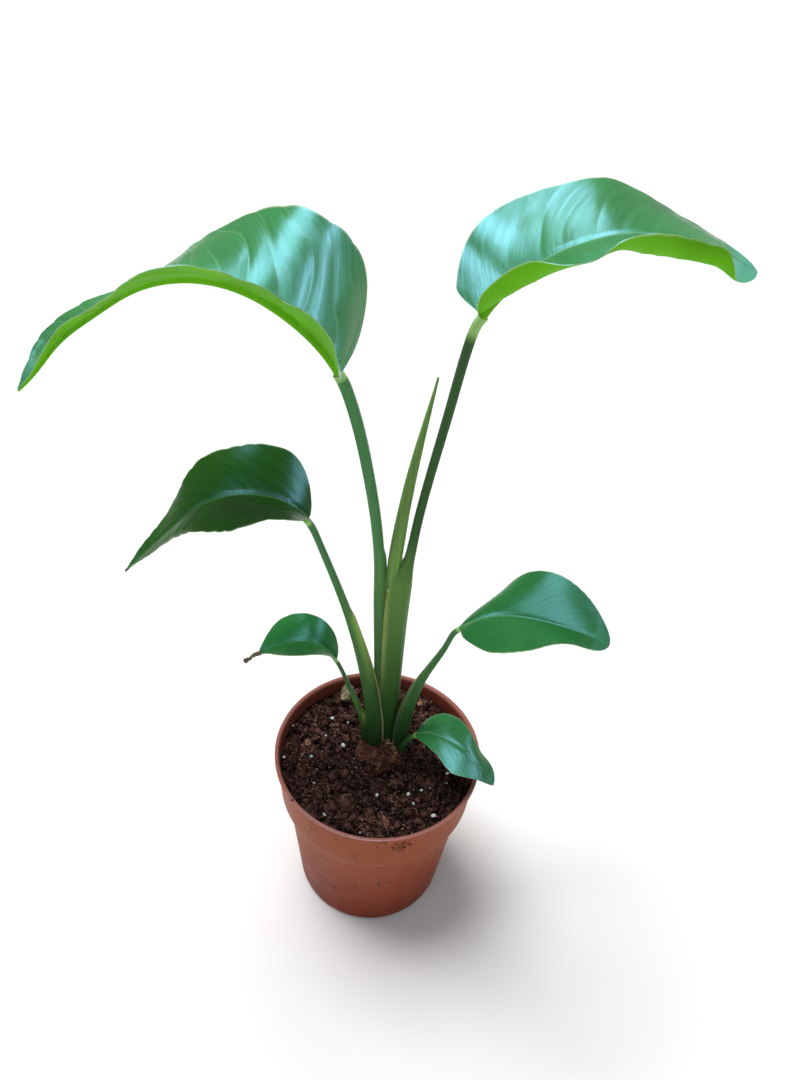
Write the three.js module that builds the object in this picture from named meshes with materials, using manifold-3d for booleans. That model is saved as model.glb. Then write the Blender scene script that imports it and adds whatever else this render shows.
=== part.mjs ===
// A potted bird of paradise: a young plant with six leaves and a rolled new leaf, standing in peat in a
// thin moulded nursery pot. Millimetres and degrees, +Z up, origin at the centre of the pot's underside.
// The leaves grow in a flat fan, by turns to the left (-X) and to the right (+X).

import * as THREE from 'three';
import { mergeVertices } from 'three/addons/utils/BufferGeometryUtils.js';
import Module from 'manifold-3d';

const wasm = await Module();
wasm.setup();

// Driving dimensions of the pot
const POT_HEIGHT = 139;
const RIM_RADIUS = 75;
const COLLAR_FOOT_RADIUS = 71;
const COLLAR_FOOT_Z = 104;
const BODY_TOP_RADIUS = 65.4;
const BODY_TOP_Z = 90;
const BASE_RADIUS = 56.5;
const WALL = 1.3;
const FLOOR = 1.8;
const LIP_HEIGHT = 3.4;
const LIP_WIDTH = 2.2;
const DRAIN_HOLES = 8;
const DRAIN_RADIUS = 4;
const DRAIN_RING_RADIUS = 46;

// Driving dimensions of the soil and of the root crown that the stalks stand in
const SOIL_Z = 127;
const SOIL_FOOT_Z = 2.4;
const CROWN_CENTRE = [2, 8];
const CROWN_HALF = [20, 20];
const CROWN_TOP_Z = 133;
const CROWN_FOOT_Z = 98;
const STALK_FOOT_Z = 112;

// Fits and facets
const GAP = 0.3;
const BLADE_THICKNESS = 0.9;
const NECK = 7;
const LOBE_SHARE = 0.2;
const LOBE_START = 0.04;
const BASE_ROUNDNESS = 0.65;
const RIDGE_DEPTH = 1.1;
const RIDGE_TAPER = 0.8;
const CURL_PIECES = 8;
const COLLAR_PIECES = 4;
const LARGE_HALF = 38;
const ROUND_SIDES = 40;
const CROWN_SIDES = 28;
const SOIL_RINGS = 12;
const STALK_SIDES = 14;
const STALK_FLATNESS = 0.9;
const LOOPS_PER_POINT = 3;
const SPEAR_LOOPS = 20;
const SEAT_SHARE = 0.35;

// The leaves. A stalk passes through its points and is as wide there as its widths say, first as a clasping
// sheath and then as the bare stalk, up to its neck and end under the blade. A blade grows from its base for
// its length: heading is its compass turn and climb its slope, at even steps along the midrib. Each half
// spreads as a share of the blade's even outline, rises by its fold at the midrib and its curl at the margin,
// and has a lobe beside the stalk. Left and right are as seen from the base towards the tip. A withered tip
// is a dry strip that hangs from the blade's end, with points counted from there.
const LEAVES = [
  {
    name: 'e',
    stalk: [[-1, 18, STALK_FOOT_Z], [-1, 18, 160], [-3, 18, 199], [-7, 19, 265], [-9.5, 20, 305],
      [-15, 20, 345], [-26, 20, 396]],
    widths: [9, 9, 9, 8.4, 7.4, 7.2, 7.2, 7.2, 6.8],
    blade: {
      base: [-36, 20, 429], length: 220, half: 50, widest: 0.26, slim: 0.5, tip: 0.8,
      heading: [182, 181, 182, 184], climb: [60, 42, 28, 6, -16, -35, -38, -51, -42],
      left: {
        lobe: 0,
        spread: [0.6, 1, 1, 1, 1, 1, 0.95, 0.8, 0.8],
        fold: [12, 32, 34, 28, 20, 14, 22, 22, 20],
        curl: [0, 24, 26, 26, 21, 15, 23, 22, 20],
      },
      right: {
        lobe: 0,
        spread: [1, 1.16, 1.05, 0.98, 1.12, 1, 1.1, 1.4, 1.4],
        fold: [20, 42, 46, 20, 0, -8, 24, 52, 60],
        curl: [20, 42, 50, 16, -2, -8, 26, 54, 60],
      },
      wave: 1.2, waves: 3,
    },
  },
  {
    name: 'f',
    stalk: [[4, 19, STALK_FOOT_Z], [4, 18, 160], [4, 18, 199], [4.3, 18, 262], [5.8, 18.5, 283],
      [9.2, 20, 304], [13, 20, 341], [22, 20, 403]],
    widths: [15, 15, 15.4, 15.8, 14, 7.4, 6, 5.8, 5.8, 5.8],
    blade: {
      base: [33, 20, 468], length: 150, half: 40, widest: 0.38, slim: 0.06, tip: 0.4,
      heading: [0, 0, 0], climb: [62, 50, 38, 27, 15, 1, -10, -20, -26],
      left: {
        lobe: 10,
        spread: [1, 1, 1, 1, 1.03, 1.12, 1.22, 1.22, 1.1],
        fold: [50, 56, 40, 32, 28, 16, 6, 2, 2],
        curl: [48, 54, 38, 28, 20, 4, -2, -2, 2],
      },
      right: {
        lobe: 2,
        spread: [0.4, 0.9, 1, 1, 1, 1, 1.05, 1.05, 1, 1, 1, 0.9, 0.7],
        fold: [0, -14, -23, -26, -16, -10, -16, -40, -58, -66, -66, -56, -36],
        curl: [60, 74, 80, 76, 38, 22, 44, 72, 92, 98, 92, 10, -30],
      },
      wave: 1, waves: 2,
    },
  },
  {
    name: 'd',
    stalk: [[-2.6, 12, STALK_FOOT_Z], [-5.2, 13, 160], [-13, 15.4, 203], [-27, 18, 253], [-45, 20, 304]],
    widths: [12.8, 12.6, 10, 6.2, 4.8, 4.8, 4.8],
    blade: {
      base: [-54, 20, 329], length: 137, half: 33.5, widest: 0.32, slim: 0.5, tip: 1,
      heading: [190, 194, 198], climb: [60, 31, 12, -7, -27, -43, -44, -45, -44],
      left: {
        lobe: 0,
        spread: [0.15, 1, 1, 1, 1, 1.05, 1.25, 1.5, 1],
        fold: [8, 17, 14, 5, 1, 5, 8, 12, 10],
        curl: [8, 15, 7, -3, -5, -1, 4, 10, 10],
      },
      right: {
        lobe: 0,
        spread: [0.5, 1.08, 1.06, 0.98, 1.12, 1.18, 1.3, 1.35, 1.1],
        fold: [32, 32, 32, 30, 24, 17, 12, 14, 14],
        curl: [26, 26, 26, 20, 14, 9, 8, 12, 14],
      },
      wave: 1, waves: 2,
    },
  },
  {
    name: 'c',
    stalk: [[13, 14, STALK_FOOT_Z], [17, 14, 165], [25, 13, 200], [38, 11, 236]],
    widths: [12.6, 12, 7, 4.4, 4, 4],
    blade: {
      base: [46, 8, 261], length: 101, half: 29, widest: 0.46, slim: 0, tip: 0.55,
      heading: [-14, -15, -16], climb: [54, 28, 6, -4, -12],
      left: {
        lobe: 2,
        spread: [0.5, 0.7, 0.98, 1.08, 1.12, 1.12, 1.05],
        fold: [20, 40, 40, 36, 20],
        curl: [-30, -30, 34, 34, 10],
      },
      right: {
        lobe: 2,
        spread: [1, 1, 1, 1.03, 0.97, 0.85, 0.85],
        fold: [-16, -16, -2, 14, -2],
        curl: [-34, -26, -4, 22, -14],
      },
      wave: 0.6, waves: 2,
    },
  },
  {
    name: 'b',
    stalk: [[-10, 13, STALK_FOOT_Z], [-13, 14, 152], [-25, 15, 188]],
    widths: [6.4, 5.4, 3.4, 3, 3],
    blade: {
      base: [-34, 16, 212], length: 64, half: 20, widest: 0.46, slim: 0.05, tip: 0.75,
      heading: [188, 190, 192], climb: [64, 44, 0, -22, -30],
      left: {
        lobe: 1,
        spread: [0.3, 0.8, 1, 1.12, 1.25, 1.3, 1.1, 0.7, 0.5],
        fold: [10, 26, 23, 24, 20],
        curl: [10, 24, 23, 24, 20],
      },
      right: {
        lobe: 1,
        spread: [0.9, 0.95, 0.95, 0.96, 1.02, 1.12, 1.2, 1.1, 0.9],
        fold: [28, 28, 26, 24, 20],
        curl: [22, 22, 20, 18, 16],
      },
      wave: 0.4, waves: 2,
    },
    withered: {
      points: [[2.5, 0, 1], [0, 0, 0], [-3, -0.5, -1.4], [-5, 0, -3.8], [-6, 0.3, -6.2], [-8, 0.3, -7.2],
        [-9.4, 0, -9.6]],
      widths: [1.6, 2.2, 2.8, 2.4, 2.6, 3.2, 1.6],
    },
  },
  {
    name: 'a',
    stalk: [[16, 8, STALK_FOOT_Z], [17, 6, 131], [20, 3, 146]],
    widths: [6, 5.4, 4.4, 4, 4],
    blade: {
      base: [26, 0, 160], length: 74, half: 18, widest: 0.46, slim: 0.2, tip: 0.7,
      heading: [-26, -30, -34], climb: [54, 14, -8, -34, -46],
      left: {
        lobe: 1,
        spread: [1.35, 1.32, 1.24, 1.13, 0.97, 0.92, 1.1, 1.4, 1.5],
        fold: [16, 14, 8, -10, 0],
        curl: [4, 0, -14, -30, 0],
      },
      right: {
        lobe: 1,
        spread: [0.6, 0.68, 0.7, 0.78, 1, 1.24, 1.22, 1, 0.9],
        fold: [-10, -16, -18, -10, 0],
        curl: [-20, -28, -30, -16, 0],
      },
      wave: 0.4, waves: 2,
    },
  },
];

// The rolled new leaf stands in the fork, with its foot in a plain hole inside the sheath of stalk F
const SPEAR = {
  points: [[4, 19, 246], [2.4, 19, 266], [0, 19, 290], [5, 18, 356], [15.4, 18, 432]],
  widths: [4, 6, 8.4, 7, 1.2],
};

// Colours from a step away
const GREEN_DARK = { color: 0x2f6b3c, roughness: 0.38, metalness: 0 };
const GREEN_STALK = { color: 0x4f7f3a, roughness: 0.5, metalness: 0 };
const GREEN_NEW = { color: 0x7da04a, roughness: 0.5, metalness: 0 };
const TERRACOTTA = { color: 0x9a5a45, roughness: 0.55, metalness: 0 };
const PEAT = { color: 0x2e201b, roughness: 0.95, metalness: 0 };
const FIBRE = { color: 0x4a3226, roughness: 0.9, metalness: 0 };

// Repeatable random numbers from 0 to 1
function randomFrom(seed) {
  let state = seed;
  return () => {
    state = (state * 1664525 + 1013904223) % 4294967296;
    return state / 4294967296;
  };
}

// Smooth value at t from 0 to 1, through values that stand at even steps
function along(values, t) {
  const last = values.length - 1;
  const place = Math.min(Math.max(t, 0), 1) * last;
  const i = Math.min(Math.floor(place), last - 1);
  const f = place - i;
  const b = values[i];
  const c = values[i + 1];
  const a = i > 0 ? values[i - 1] : 2 * b - c;
  const d = i + 2 <= last ? values[i + 2] : 2 * c - b;
  const cubic = (-a + 3 * b - 3 * c + d) * f ** 3;
  return 0.5 * (2 * b + (-a + c) * f + (2 * a - 5 * b + 4 * c - d) * f ** 2 + cubic);
}

const radians = THREE.MathUtils.degToRad;

// Solids and geometries
function geometryFrom(points, faces) {
  const geometry = new THREE.BufferGeometry();
  geometry.setAttribute('position', new THREE.Float32BufferAttribute(points.flat(), 3));
  geometry.setIndex(faces.flat());
  return geometry;
}

function toSolid(source) {
  const geometry = source.clone();
  geometry.deleteAttribute('normal');
  geometry.deleteAttribute('uv');
  const welded = mergeVertices(geometry, 1e-4);
  const index = welded.index.array;
  const faces = [];
  for (let i = 0; i < index.length; i += 3) {
    const [a, b, c] = [index[i], index[i + 1], index[i + 2]];
    if (a !== b && b !== c && c !== a) faces.push(a, b, c);
  }
  const mesh = new wasm.Mesh({
    numProp: 3,
    vertProperties: new Float32Array(welded.attributes.position.array),
    triVerts: new Uint32Array(faces),
  });
  return new wasm.Manifold(mesh);
}

// The largest body of a solid, so that no loose scrap of a cut is left
function toGeometry(solid) {
  const bodies = solid.decompose().sort((a, b) => b.volume() - a.volume());
  const mesh = bodies[0].getMesh();
  const geometry = new THREE.BufferGeometry();
  geometry.setAttribute('position', new THREE.BufferAttribute(new Float32Array(mesh.vertProperties), 3));
  geometry.setIndex(new THREE.BufferAttribute(new Uint32Array(mesh.triVerts), 1));
  return geometry;
}

// A closed skin over loops of equally many points, with a fan over each end
function loft(loops) {
  const sides = loops[0].length;
  const points = loops.flat();
  const faces = [];
  for (let i = 0; i + 1 < loops.length; i += 1) {
    for (let j = 0; j < sides; j += 1) {
      const a = i * sides + j;
      const b = i * sides + ((j + 1) % sides);
      faces.push([a, b, b + sides], [a, b + sides, a + sides]);
    }
  }
  const middle = (loop) => [0, 1, 2].map((k) => loop.reduce((sum, p) => sum + p[k], 0) / sides);
  const foot = points.push(middle(loops[0])) - 1;
  const head = points.push(middle(loops[loops.length - 1])) - 1;
  const start = (loops.length - 1) * sides;
  for (let j = 0; j < sides; j += 1) {
    const next = (j + 1) % sides;
    faces.push([foot, next, j], [head, start + j, start + next]);
  }
  return geometryFrom(points, faces);
}

// Pot: the collar swells out of the body in a smooth step. The whole profile runs from the underside over the
// rim to the floor, and its inside part from the collar down to the floor.
function potProfile() {
  const foot = 2.4;
  const lipFoot = POT_HEIGHT - LIP_HEIGHT;
  const collarTop = RIM_RADIUS - LIP_WIDTH;
  const step = COLLAR_FOOT_RADIUS - BODY_TOP_RADIUS;
  const rise = COLLAR_FOOT_Z - BODY_TOP_Z;
  const swell = Array.from({ length: COLLAR_PIECES + 1 }, (_, i) => {
    const share = i / COLLAR_PIECES;
    return [BODY_TOP_RADIUS + step * THREE.MathUtils.smoothstep(share, 0, 1), BODY_TOP_Z + rise * share];
  });
  const outside = [
    [BASE_RADIUS - foot, 0],
    [BASE_RADIUS - 0.6, 0.8],
    [BASE_RADIUS, foot],
    ...swell,
    [collarTop, lipFoot - 0.4],
  ];
  const lip = [
    [RIM_RADIUS - 0.5, lipFoot],
    [RIM_RADIUS, lipFoot + 0.6],
    [RIM_RADIUS, POT_HEIGHT - 0.7],
    [RIM_RADIUS - 0.7, POT_HEIGHT],
    [collarTop - WALL + 1, POT_HEIGHT],
    [collarTop - WALL + 0.3, POT_HEIGHT - 0.8],
  ];
  const inside = outside.slice(3).reverse().map(([r, z]) => [r - WALL, z]);
  inside.push([BASE_RADIUS - WALL, foot + FLOOR], [BASE_RADIUS - WALL - foot, FLOOR]);
  return { whole: [[0, 0], ...outside, ...lip, ...inside, [0, FLOOR]], inside };
}

function turned(profile) {
  const outline = profile.map(([r, z]) => new THREE.Vector2(r, z));
  const geometry = new THREE.LatheGeometry(outline, ROUND_SIDES);
  return geometry.rotateX(Math.PI / 2);
}

function makePot() {
  let pot = toSolid(turned(potProfile().whole));
  for (let i = 0; i < DRAIN_HOLES; i += 1) {
    const turn = ((i + 0.5) / DRAIN_HOLES) * 2 * Math.PI;
    const drill = new THREE.CylinderGeometry(DRAIN_RADIUS, DRAIN_RADIUS, 4 * FLOOR, 12);
    drill.rotateX(Math.PI / 2);
    drill.translate(DRAIN_RING_RADIUS * Math.cos(turn), DRAIN_RING_RADIUS * Math.sin(turn), 0);
    pot = pot.subtract(toSolid(drill));
  }
  return pot;
}

// Soil: its side follows the pot's inner wall, and its top is raised into clods and hollows
const randomClod = randomFrom(7);
const CLODS = Array.from({ length: 70 }, () => {
  const reach = 66 * Math.sqrt(randomClod());
  const turn = 2 * Math.PI * randomClod();
  return {
    x: reach * Math.cos(turn),
    y: reach * Math.sin(turn),
    height: -1.4 + 3.6 * randomClod(),
    width: 5 + 5 * randomClod(),
  };
});
CLODS.push({ x: -19, y: -43, height: 3.4, width: 5.5 }, { x: -26, y: 56, height: 4, width: 7 });

function soilRelief(x, y) {
  let z = 0;
  for (const clod of CLODS) {
    const far = ((x - clod.x) ** 2 + (y - clod.y) ** 2) / clod.width ** 2;
    z += clod.height * Math.exp(-far);
  }
  return Math.min(Math.max(z, -3), 5);
}

function makeSoil() {
  const inner = potProfile().inside.reverse().map(([r, z]) => [r - GAP, z]);
  const [floorEdge, corner, ...side] = inner;
  const collar = side[side.length - 1];
  const below = side[side.length - 2];
  const share = (SOIL_Z - below[1]) / (collar[1] - below[1]);
  const topRadius = below[0] + share * (collar[0] - below[0]);
  const profile = [[floorEdge[0], SOIL_FOOT_Z], [corner[0], corner[1] + GAP], ...side.slice(0, -1)];
  for (let i = 0; i < SOIL_RINGS; i += 1) profile.push([topRadius * (1 - i / SOIL_RINGS), SOIL_Z]);
  const loops = profile.map(([r, z]) => Array.from({ length: ROUND_SIDES }, (_, j) => {
    const turn = (j / ROUND_SIDES) * 2 * Math.PI;
    const x = r * Math.cos(turn);
    const y = r * Math.sin(turn);
    const lift = z === SOIL_Z ? soilRelief(x, y) : 0;
    return [x, y, z + lift];
  }));
  return loft(loops);
}

// Root crown: a fibrous stub, ridged down its sides and humped in front of the stalks. Spread makes the
// same shape a little larger, for the pit in the soil.
function makeCrown(spread) {
  const shape = [
    [0.55, 0], [0.85, 0.25], [1, 0.6], [1, 0.8], [0.9, 0.92], [0.7, 1], [0.45, 1.03], [0.2, 1.04],
  ];
  const height = CROWN_TOP_Z - CROWN_FOOT_Z;
  const loops = shape.map(([reach, rise]) => Array.from({ length: CROWN_SIDES }, (_, j) => {
    const turn = (j / CROWN_SIDES) * 2 * Math.PI;
    const ridge = 1 + 0.05 * Math.sin(7 * turn + 1) + 0.03 * Math.sin(11 * turn + 4 * rise);
    const x = CROWN_CENTRE[0] + (CROWN_HALF[0] * reach * ridge + spread) * Math.cos(turn);
    const y = CROWN_CENTRE[1] + (CROWN_HALF[1] * reach * ridge + spread) * Math.sin(turn);
    const front = rise > 0.85 ? 2.2 * Math.exp(-(((x - 3) / 12) ** 2) - ((y + 1) / 9) ** 2) : 0;
    const lump = rise > 0.85 ? 0.7 * Math.sin(3.1 * x) * Math.cos(2.3 * y) : 0;
    const end = rise === 0 ? -spread : 0;
    return [x, y, CROWN_FOOT_Z + height * rise + front + lump + end];
  }));
  return loft(loops);
}

// Rods along a curve: stalks and the rolled leaf
function rod(points, widths, grow, steps) {
  const curve = new THREE.CatmullRomCurve3(points.map((p) => new THREE.Vector3(...p)), false, 'centripetal');
  const loops = [];
  for (let i = 0; i <= steps; i += 1) {
    const t = i / steps;
    const centre = curve.getPointAt(t);
    const ahead = curve.getTangentAt(t);
    const deep = new THREE.Vector3(0, 1, 0).addScaledVector(ahead, -ahead.y).normalize();
    const wide = new THREE.Vector3().crossVectors(deep, ahead);
    const half = along(widths, curve.getUtoTmapping(t)) / 2;
    const end = i === 0 ? -grow : 0;
    const loop = Array.from({ length: STALK_SIDES }, (_, j) => {
      const turn = (j / STALK_SIDES) * 2 * Math.PI;
      const p = centre.clone()
        .addScaledVector(wide, (half + grow) * Math.cos(turn))
        .addScaledVector(deep, (half * STALK_FLATNESS + grow) * Math.sin(turn))
        .addScaledVector(ahead, end);
      return p.toArray();
    });
    loops.push(loop);
  }
  return loft(loops);
}

function direction(heading, climb) {
  const [h, c] = [radians(heading), radians(climb)];
  return new THREE.Vector3(Math.cos(c) * Math.cos(h), Math.cos(c) * Math.sin(h), Math.sin(c));
}

function stalk(leaf, grow) {
  const { base, heading, climb } = leaf.blade;
  const start = direction(heading[0], climb[0]);
  const down = direction(heading[0], climb[0] - 90);
  const under = leaf.widths[leaf.widths.length - 1] * SEAT_SHARE;
  const top = new THREE.Vector3(...base).addScaledVector(down, under);
  const end = top.clone().addScaledVector(start, -GAP).toArray();
  const neck = top.clone().addScaledVector(start, -NECK).toArray();
  const points = [...leaf.stalk, neck, end];
  return rod(points, leaf.widths, grow, points.length * LOOPS_PER_POINT);
}

function spear(grow) {
  return rod(SPEAR.points, SPEAR.widths, grow, SPEAR_LOOPS);
}

// Blade: both faces share one grid, with a ridge for the midrib under it. Columns stand at the margins,
// at the ridge's foot on each side, and at the rib line.
function halfWidth(blade, t) {
  const bulge = Math.log(0.5) / Math.log(blade.widest);
  const taper = 1 - blade.slim * THREE.MathUtils.smoothstep(t, 0.35, 0.8);
  const roundness = BASE_ROUNDNESS + (blade.tip - BASE_ROUNDNESS) * t;
  return blade.half * taper * Math.max(Math.sin(Math.PI * t ** bulge), 0) ** roundness;
}

function makeBlade(leaf, steps, columns) {
  const { blade } = leaf;
  const neck = leaf.widths[leaf.widths.length - 1] / 2;
  const upper = [];
  const under = [];
  const centre = new THREE.Vector3(...blade.base);
  for (let i = 0; i <= steps; i += 1) {
    const t = i / steps;
    const ahead = direction(along(blade.heading, t), along(blade.climb, t));
    if (i > 0) {
      const middle = t - 0.5 / steps;
      const stride = direction(along(blade.heading, middle), along(blade.climb, middle));
      centre.addScaledVector(stride, blade.length / steps);
    }
    const heading = radians(along(blade.heading, t));
    const across = new THREE.Vector3(-Math.sin(heading), Math.cos(heading), 0);
    const up = new THREE.Vector3().crossVectors(ahead, across);
    const ridge = neck * (1 - RIDGE_TAPER * t);
    const halfOf = (side) => (side > 0 ? blade.left : blade.right);
    const reachOf = (side) => Math.max(halfWidth(blade, t) * along(halfOf(side).spread, t), ridge * 1.15);
    const topRow = [];
    const underRow = [];
    const point = (side, flare) => {
      const half = halfOf(side);
      const fold = along(half.fold, t);
      const curl = along(half.curl, t);
      const out = reachOf(side) * flare;
      const place = centre.clone();
      const lean = new THREE.Vector3();
      for (let k = 0; k < CURL_PIECES; k += 1) {
        const f = (flare * (k + 0.5)) / CURL_PIECES;
        const rise = radians(fold + (curl - fold) * f);
        lean.set(0, 0, 0).addScaledVector(across, side * Math.cos(rise)).addScaledVector(up, Math.sin(rise));
        place.addScaledVector(lean, out / CURL_PIECES);
      }
      const swing = Math.sin(2 * Math.PI * blade.waves * t + (side > 0 ? 0 : 2));
      const calm = Math.sin(Math.PI * t);
      place.addScaledVector(up, blade.wave * flare ** 2 * swing * calm);
      const sweep = Math.min(t / LOBE_START, 1) * Math.max(1 - t / LOBE_SHARE, 0) ** 2;
      place.addScaledVector(ahead, -half.lobe * flare ** 2 * sweep);
      const end = radians(fold + (curl - fold) * flare);
      const normal = new THREE.Vector3()
        .addScaledVector(across, -side * Math.sin(end))
        .addScaledVector(up, Math.cos(end));
      return { place, normal };
    };
    const flaresOf = (side) => {
      const ribShare = Math.min(ridge / reachOf(side), 0.9);
      return Array.from({ length: columns }, (_, k) => ribShare + ((1 - ribShare) * k) / (columns - 1));
    };
    const put = (side, flare, ridgeDepth) => {
      const { place, normal } = flare === 0
        ? { place: centre.clone(), normal: up.clone() }
        : point(side, flare);
      topRow.push(place.toArray());
      underRow.push(place.clone().addScaledVector(normal, -BLADE_THICKNESS - ridgeDepth).toArray());
    };
    for (const flare of flaresOf(-1).reverse()) put(-1, flare, 0);
    put(1, 0, ridge * RIDGE_DEPTH);
    for (const flare of flaresOf(1)) put(1, flare, 0);
    upper.push(topRow);
    under.push(underRow);
  }
  const loops = upper.map((row, i) => [...row, ...[...under[i]].reverse()]);
  const solid = toSolid(sheet(loops, upper[0].length));
  if (!leaf.withered) return solid;
  const points = leaf.withered.points.map((p) => new THREE.Vector3(...p).add(centre).toArray());
  return solid.add(toSolid(rod(points, leaf.withered.widths, 0, points.length * LOOPS_PER_POINT)));
}

// A blade's skin, triangulated alike on both faces, with strips over its two ends
function sheet(loops, count) {
  const points = loops.flat();
  const ring = 2 * count;
  const faces = [];
  for (let i = 0; i + 1 < loops.length; i += 1) {
    for (let j = 0; j + 1 < count; j += 1) {
      const a = i * ring + j;
      const b = i * ring + j + 1;
      const c = i * ring + (ring - 1 - j);
      const d = i * ring + (ring - 2 - j);
      faces.push([a, a + ring, b + ring], [a, b + ring, b]);
      faces.push([c, d + ring, c + ring], [c, d, d + ring]);
    }
    const left = i * ring;
    const right = i * ring + count - 1;
    faces.push([left, left + ring - 1, left + 2 * ring - 1], [left, left + 2 * ring - 1, left + ring]);
    faces.push([right, right + ring, right + ring + 1], [right, right + ring + 1, right + 1]);
  }
  for (let j = 0; j + 1 < count; j += 1) {
    const end = (loops.length - 1) * ring;
    const [a, b, c, d] = [j, j + 1, ring - 1 - j, ring - 2 - j];
    faces.push([a, b, d], [a, d, c]);
    faces.push([end + a, end + d, end + b], [end + a, end + c, end + d]);
  }
  return geometryFrom(points, faces);
}

// Assembly
const plant = new THREE.Group();

function add(name, geometry, finish) {
  geometry.computeVertexNormals();
  const mesh = new THREE.Mesh(geometry, new THREE.MeshStandardMaterial(finish));
  mesh.name = name;
  plant.add(mesh);
}

const spearRoom = toSolid(spear(GAP));
const stalkRoom = LEAVES.map((leaf) => toSolid(stalk(leaf, GAP)));
const blades = LEAVES.map((leaf) => {
  const large = leaf.blade.half > LARGE_HALF;
  return makeBlade(leaf, large ? 30 : 20, large ? 5 : 4);
});

let crown = toSolid(makeCrown(0)).subtract(spearRoom);
for (const room of stalkRoom) crown = crown.subtract(room);
let soil = toSolid(makeSoil()).subtract(toSolid(makeCrown(GAP)));
for (const room of stalkRoom) soil = soil.subtract(room);

add('pot', toGeometry(makePot()), TERRACOTTA);
add('soil', toGeometry(soil), PEAT);
add('root_crown', toGeometry(crown), FIBRE);
add('spear', toGeometry(toSolid(spear(0))), GREEN_NEW);

// An older sheath clasps the younger ones, so each stalk is cut by all that are younger
LEAVES.forEach((leaf, i) => {
  let body = toSolid(stalk(leaf, 0)).subtract(spearRoom);
  for (let k = 0; k < i; k += 1) body = body.subtract(stalkRoom[k]);
  add(`stalk_${leaf.name}`, toGeometry(body), GREEN_STALK);
  add(`blade_${leaf.name}`, toGeometry(blades[i]), GREEN_DARK);
});

export default plant;
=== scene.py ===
import math
import random
from functools import partial
from itertools import combinations

import bmesh
import bpy
import numpy as np
from bpy.props import FloatProperty, FloatVectorProperty, IntProperty, PointerProperty
from mathutils import Matrix, Vector, noise


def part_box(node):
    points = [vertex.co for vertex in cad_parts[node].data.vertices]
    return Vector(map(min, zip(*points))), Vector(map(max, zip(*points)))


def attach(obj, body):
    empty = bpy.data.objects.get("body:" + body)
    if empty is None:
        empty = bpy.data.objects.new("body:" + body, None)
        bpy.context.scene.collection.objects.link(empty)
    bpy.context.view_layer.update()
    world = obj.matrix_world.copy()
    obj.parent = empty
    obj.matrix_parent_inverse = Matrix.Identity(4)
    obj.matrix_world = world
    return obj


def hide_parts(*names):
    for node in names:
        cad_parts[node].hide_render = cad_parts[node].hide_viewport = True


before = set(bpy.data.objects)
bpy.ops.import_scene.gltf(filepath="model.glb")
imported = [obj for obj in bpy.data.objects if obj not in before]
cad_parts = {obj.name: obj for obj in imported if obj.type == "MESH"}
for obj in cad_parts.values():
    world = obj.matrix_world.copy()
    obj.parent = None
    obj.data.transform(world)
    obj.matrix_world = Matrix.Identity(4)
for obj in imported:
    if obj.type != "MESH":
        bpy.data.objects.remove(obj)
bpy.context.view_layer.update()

bl_info = {
    "name": "Potted bird of paradise",
    "version": (1, 0, 0),
    "blender": (4, 5, 0),
    "location": "View3D > Sidebar > Plant",
    "description": "A young bird of paradise plant in a nursery pot, built round its packed frame",
    "category": "Add Mesh",
}

# Lengths in this file are millimetres unless a property says otherwise; the scene is in metres
MM = 0.001
BODY = "root"
# How many millimetres are 1 in the UV maps that hold a distance
MAP_UNIT = 100

# The photograph's camera, fitted to the pot's rim, collar and base
FOCAL_PIXELS = 830
PHOTO_WIDTH, PHOTO_HEIGHT = 810, 1080
CAMERA_PITCH, CAMERA_ROLL = 38.28, 5.22
CAMERA_PLACE = Vector((5.6, -381.7, 636))
SENSOR = 36

# Pot
POT_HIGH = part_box("pot")[1]
RIM_RADIUS = POT_HIGH.x / MM
POT_HEIGHT = POT_HIGH.z / MM
COLLAR_FOOT_RADIUS, COLLAR_FOOT_Z = 71, 104
BODY_TOP_RADIUS, BODY_TOP_Z = 65.4, 90
BASE_RADIUS = 56.5
WALL, FLOOR, FOOT_ROUND = 1.3, 1.8, 2.4
LIP_HEIGHT, LIP_WIDTH = 3.4, 2.2
DRAIN_HOLES, DRAIN_RADIUS, DRAIN_RING_RADIUS = 8, 4, 46
# The pot's edges that are sharper than this, in degrees, are shaded sharp
POT_CREASE = 35

# Soil and root crown
SOIL_Z, SOIL_FOOT_Z, SOIL_GAP = 127, 2.4, 0.35
CROWN_CENTRE, CROWN_HALF = (2, 8), (20, 20)
CROWN_TOP_Z, CROWN_FOOT_Z = 133, 98
STALK_FOOT_Z = 112
# How many straight steps make up a curved fibre
FIBRE_STEPS = 6

# Leaf growth, as in the solids: a blade grows from its base along headings and climbs, and each half rises
# by its fold at the midrib and its curl at the margin. Sweep is how far a side vein runs towards the tip.
BLADE_THICKNESS, EDGE_THICKNESS = 0.75, 0.35
# The shares of a blade's length where a lobe ends and where it is longest, and how sharp the base is
LOBE_SHARE, LOBE_START, BASE_ROUNDNESS = 0.2, 0.04, 0.65
# How deep the ridge under a midrib is, to its half width, and how much it has narrowed at the tip
RIDGE_DEPTH, RIDGE_TAPER = 1.1, 0.8
# How many pieces the bend from a fold to its curl is added up from
CURL_PIECES = 8
# A stalk's depth to its width, its channel's depth, to its half width, and half turn, the straight stretch
# under its blade, how far under the blade's base it ends, to its width, and how far over its sheath it fades
# to its bare colour
STALK_FLATNESS = 0.9
CHANNEL_DEPTH, CHANNEL_HALF_TURN = 0.13, 26
NECK, SEAT_SHARE, STALK_FADE = 7, 0.35, 26

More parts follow.
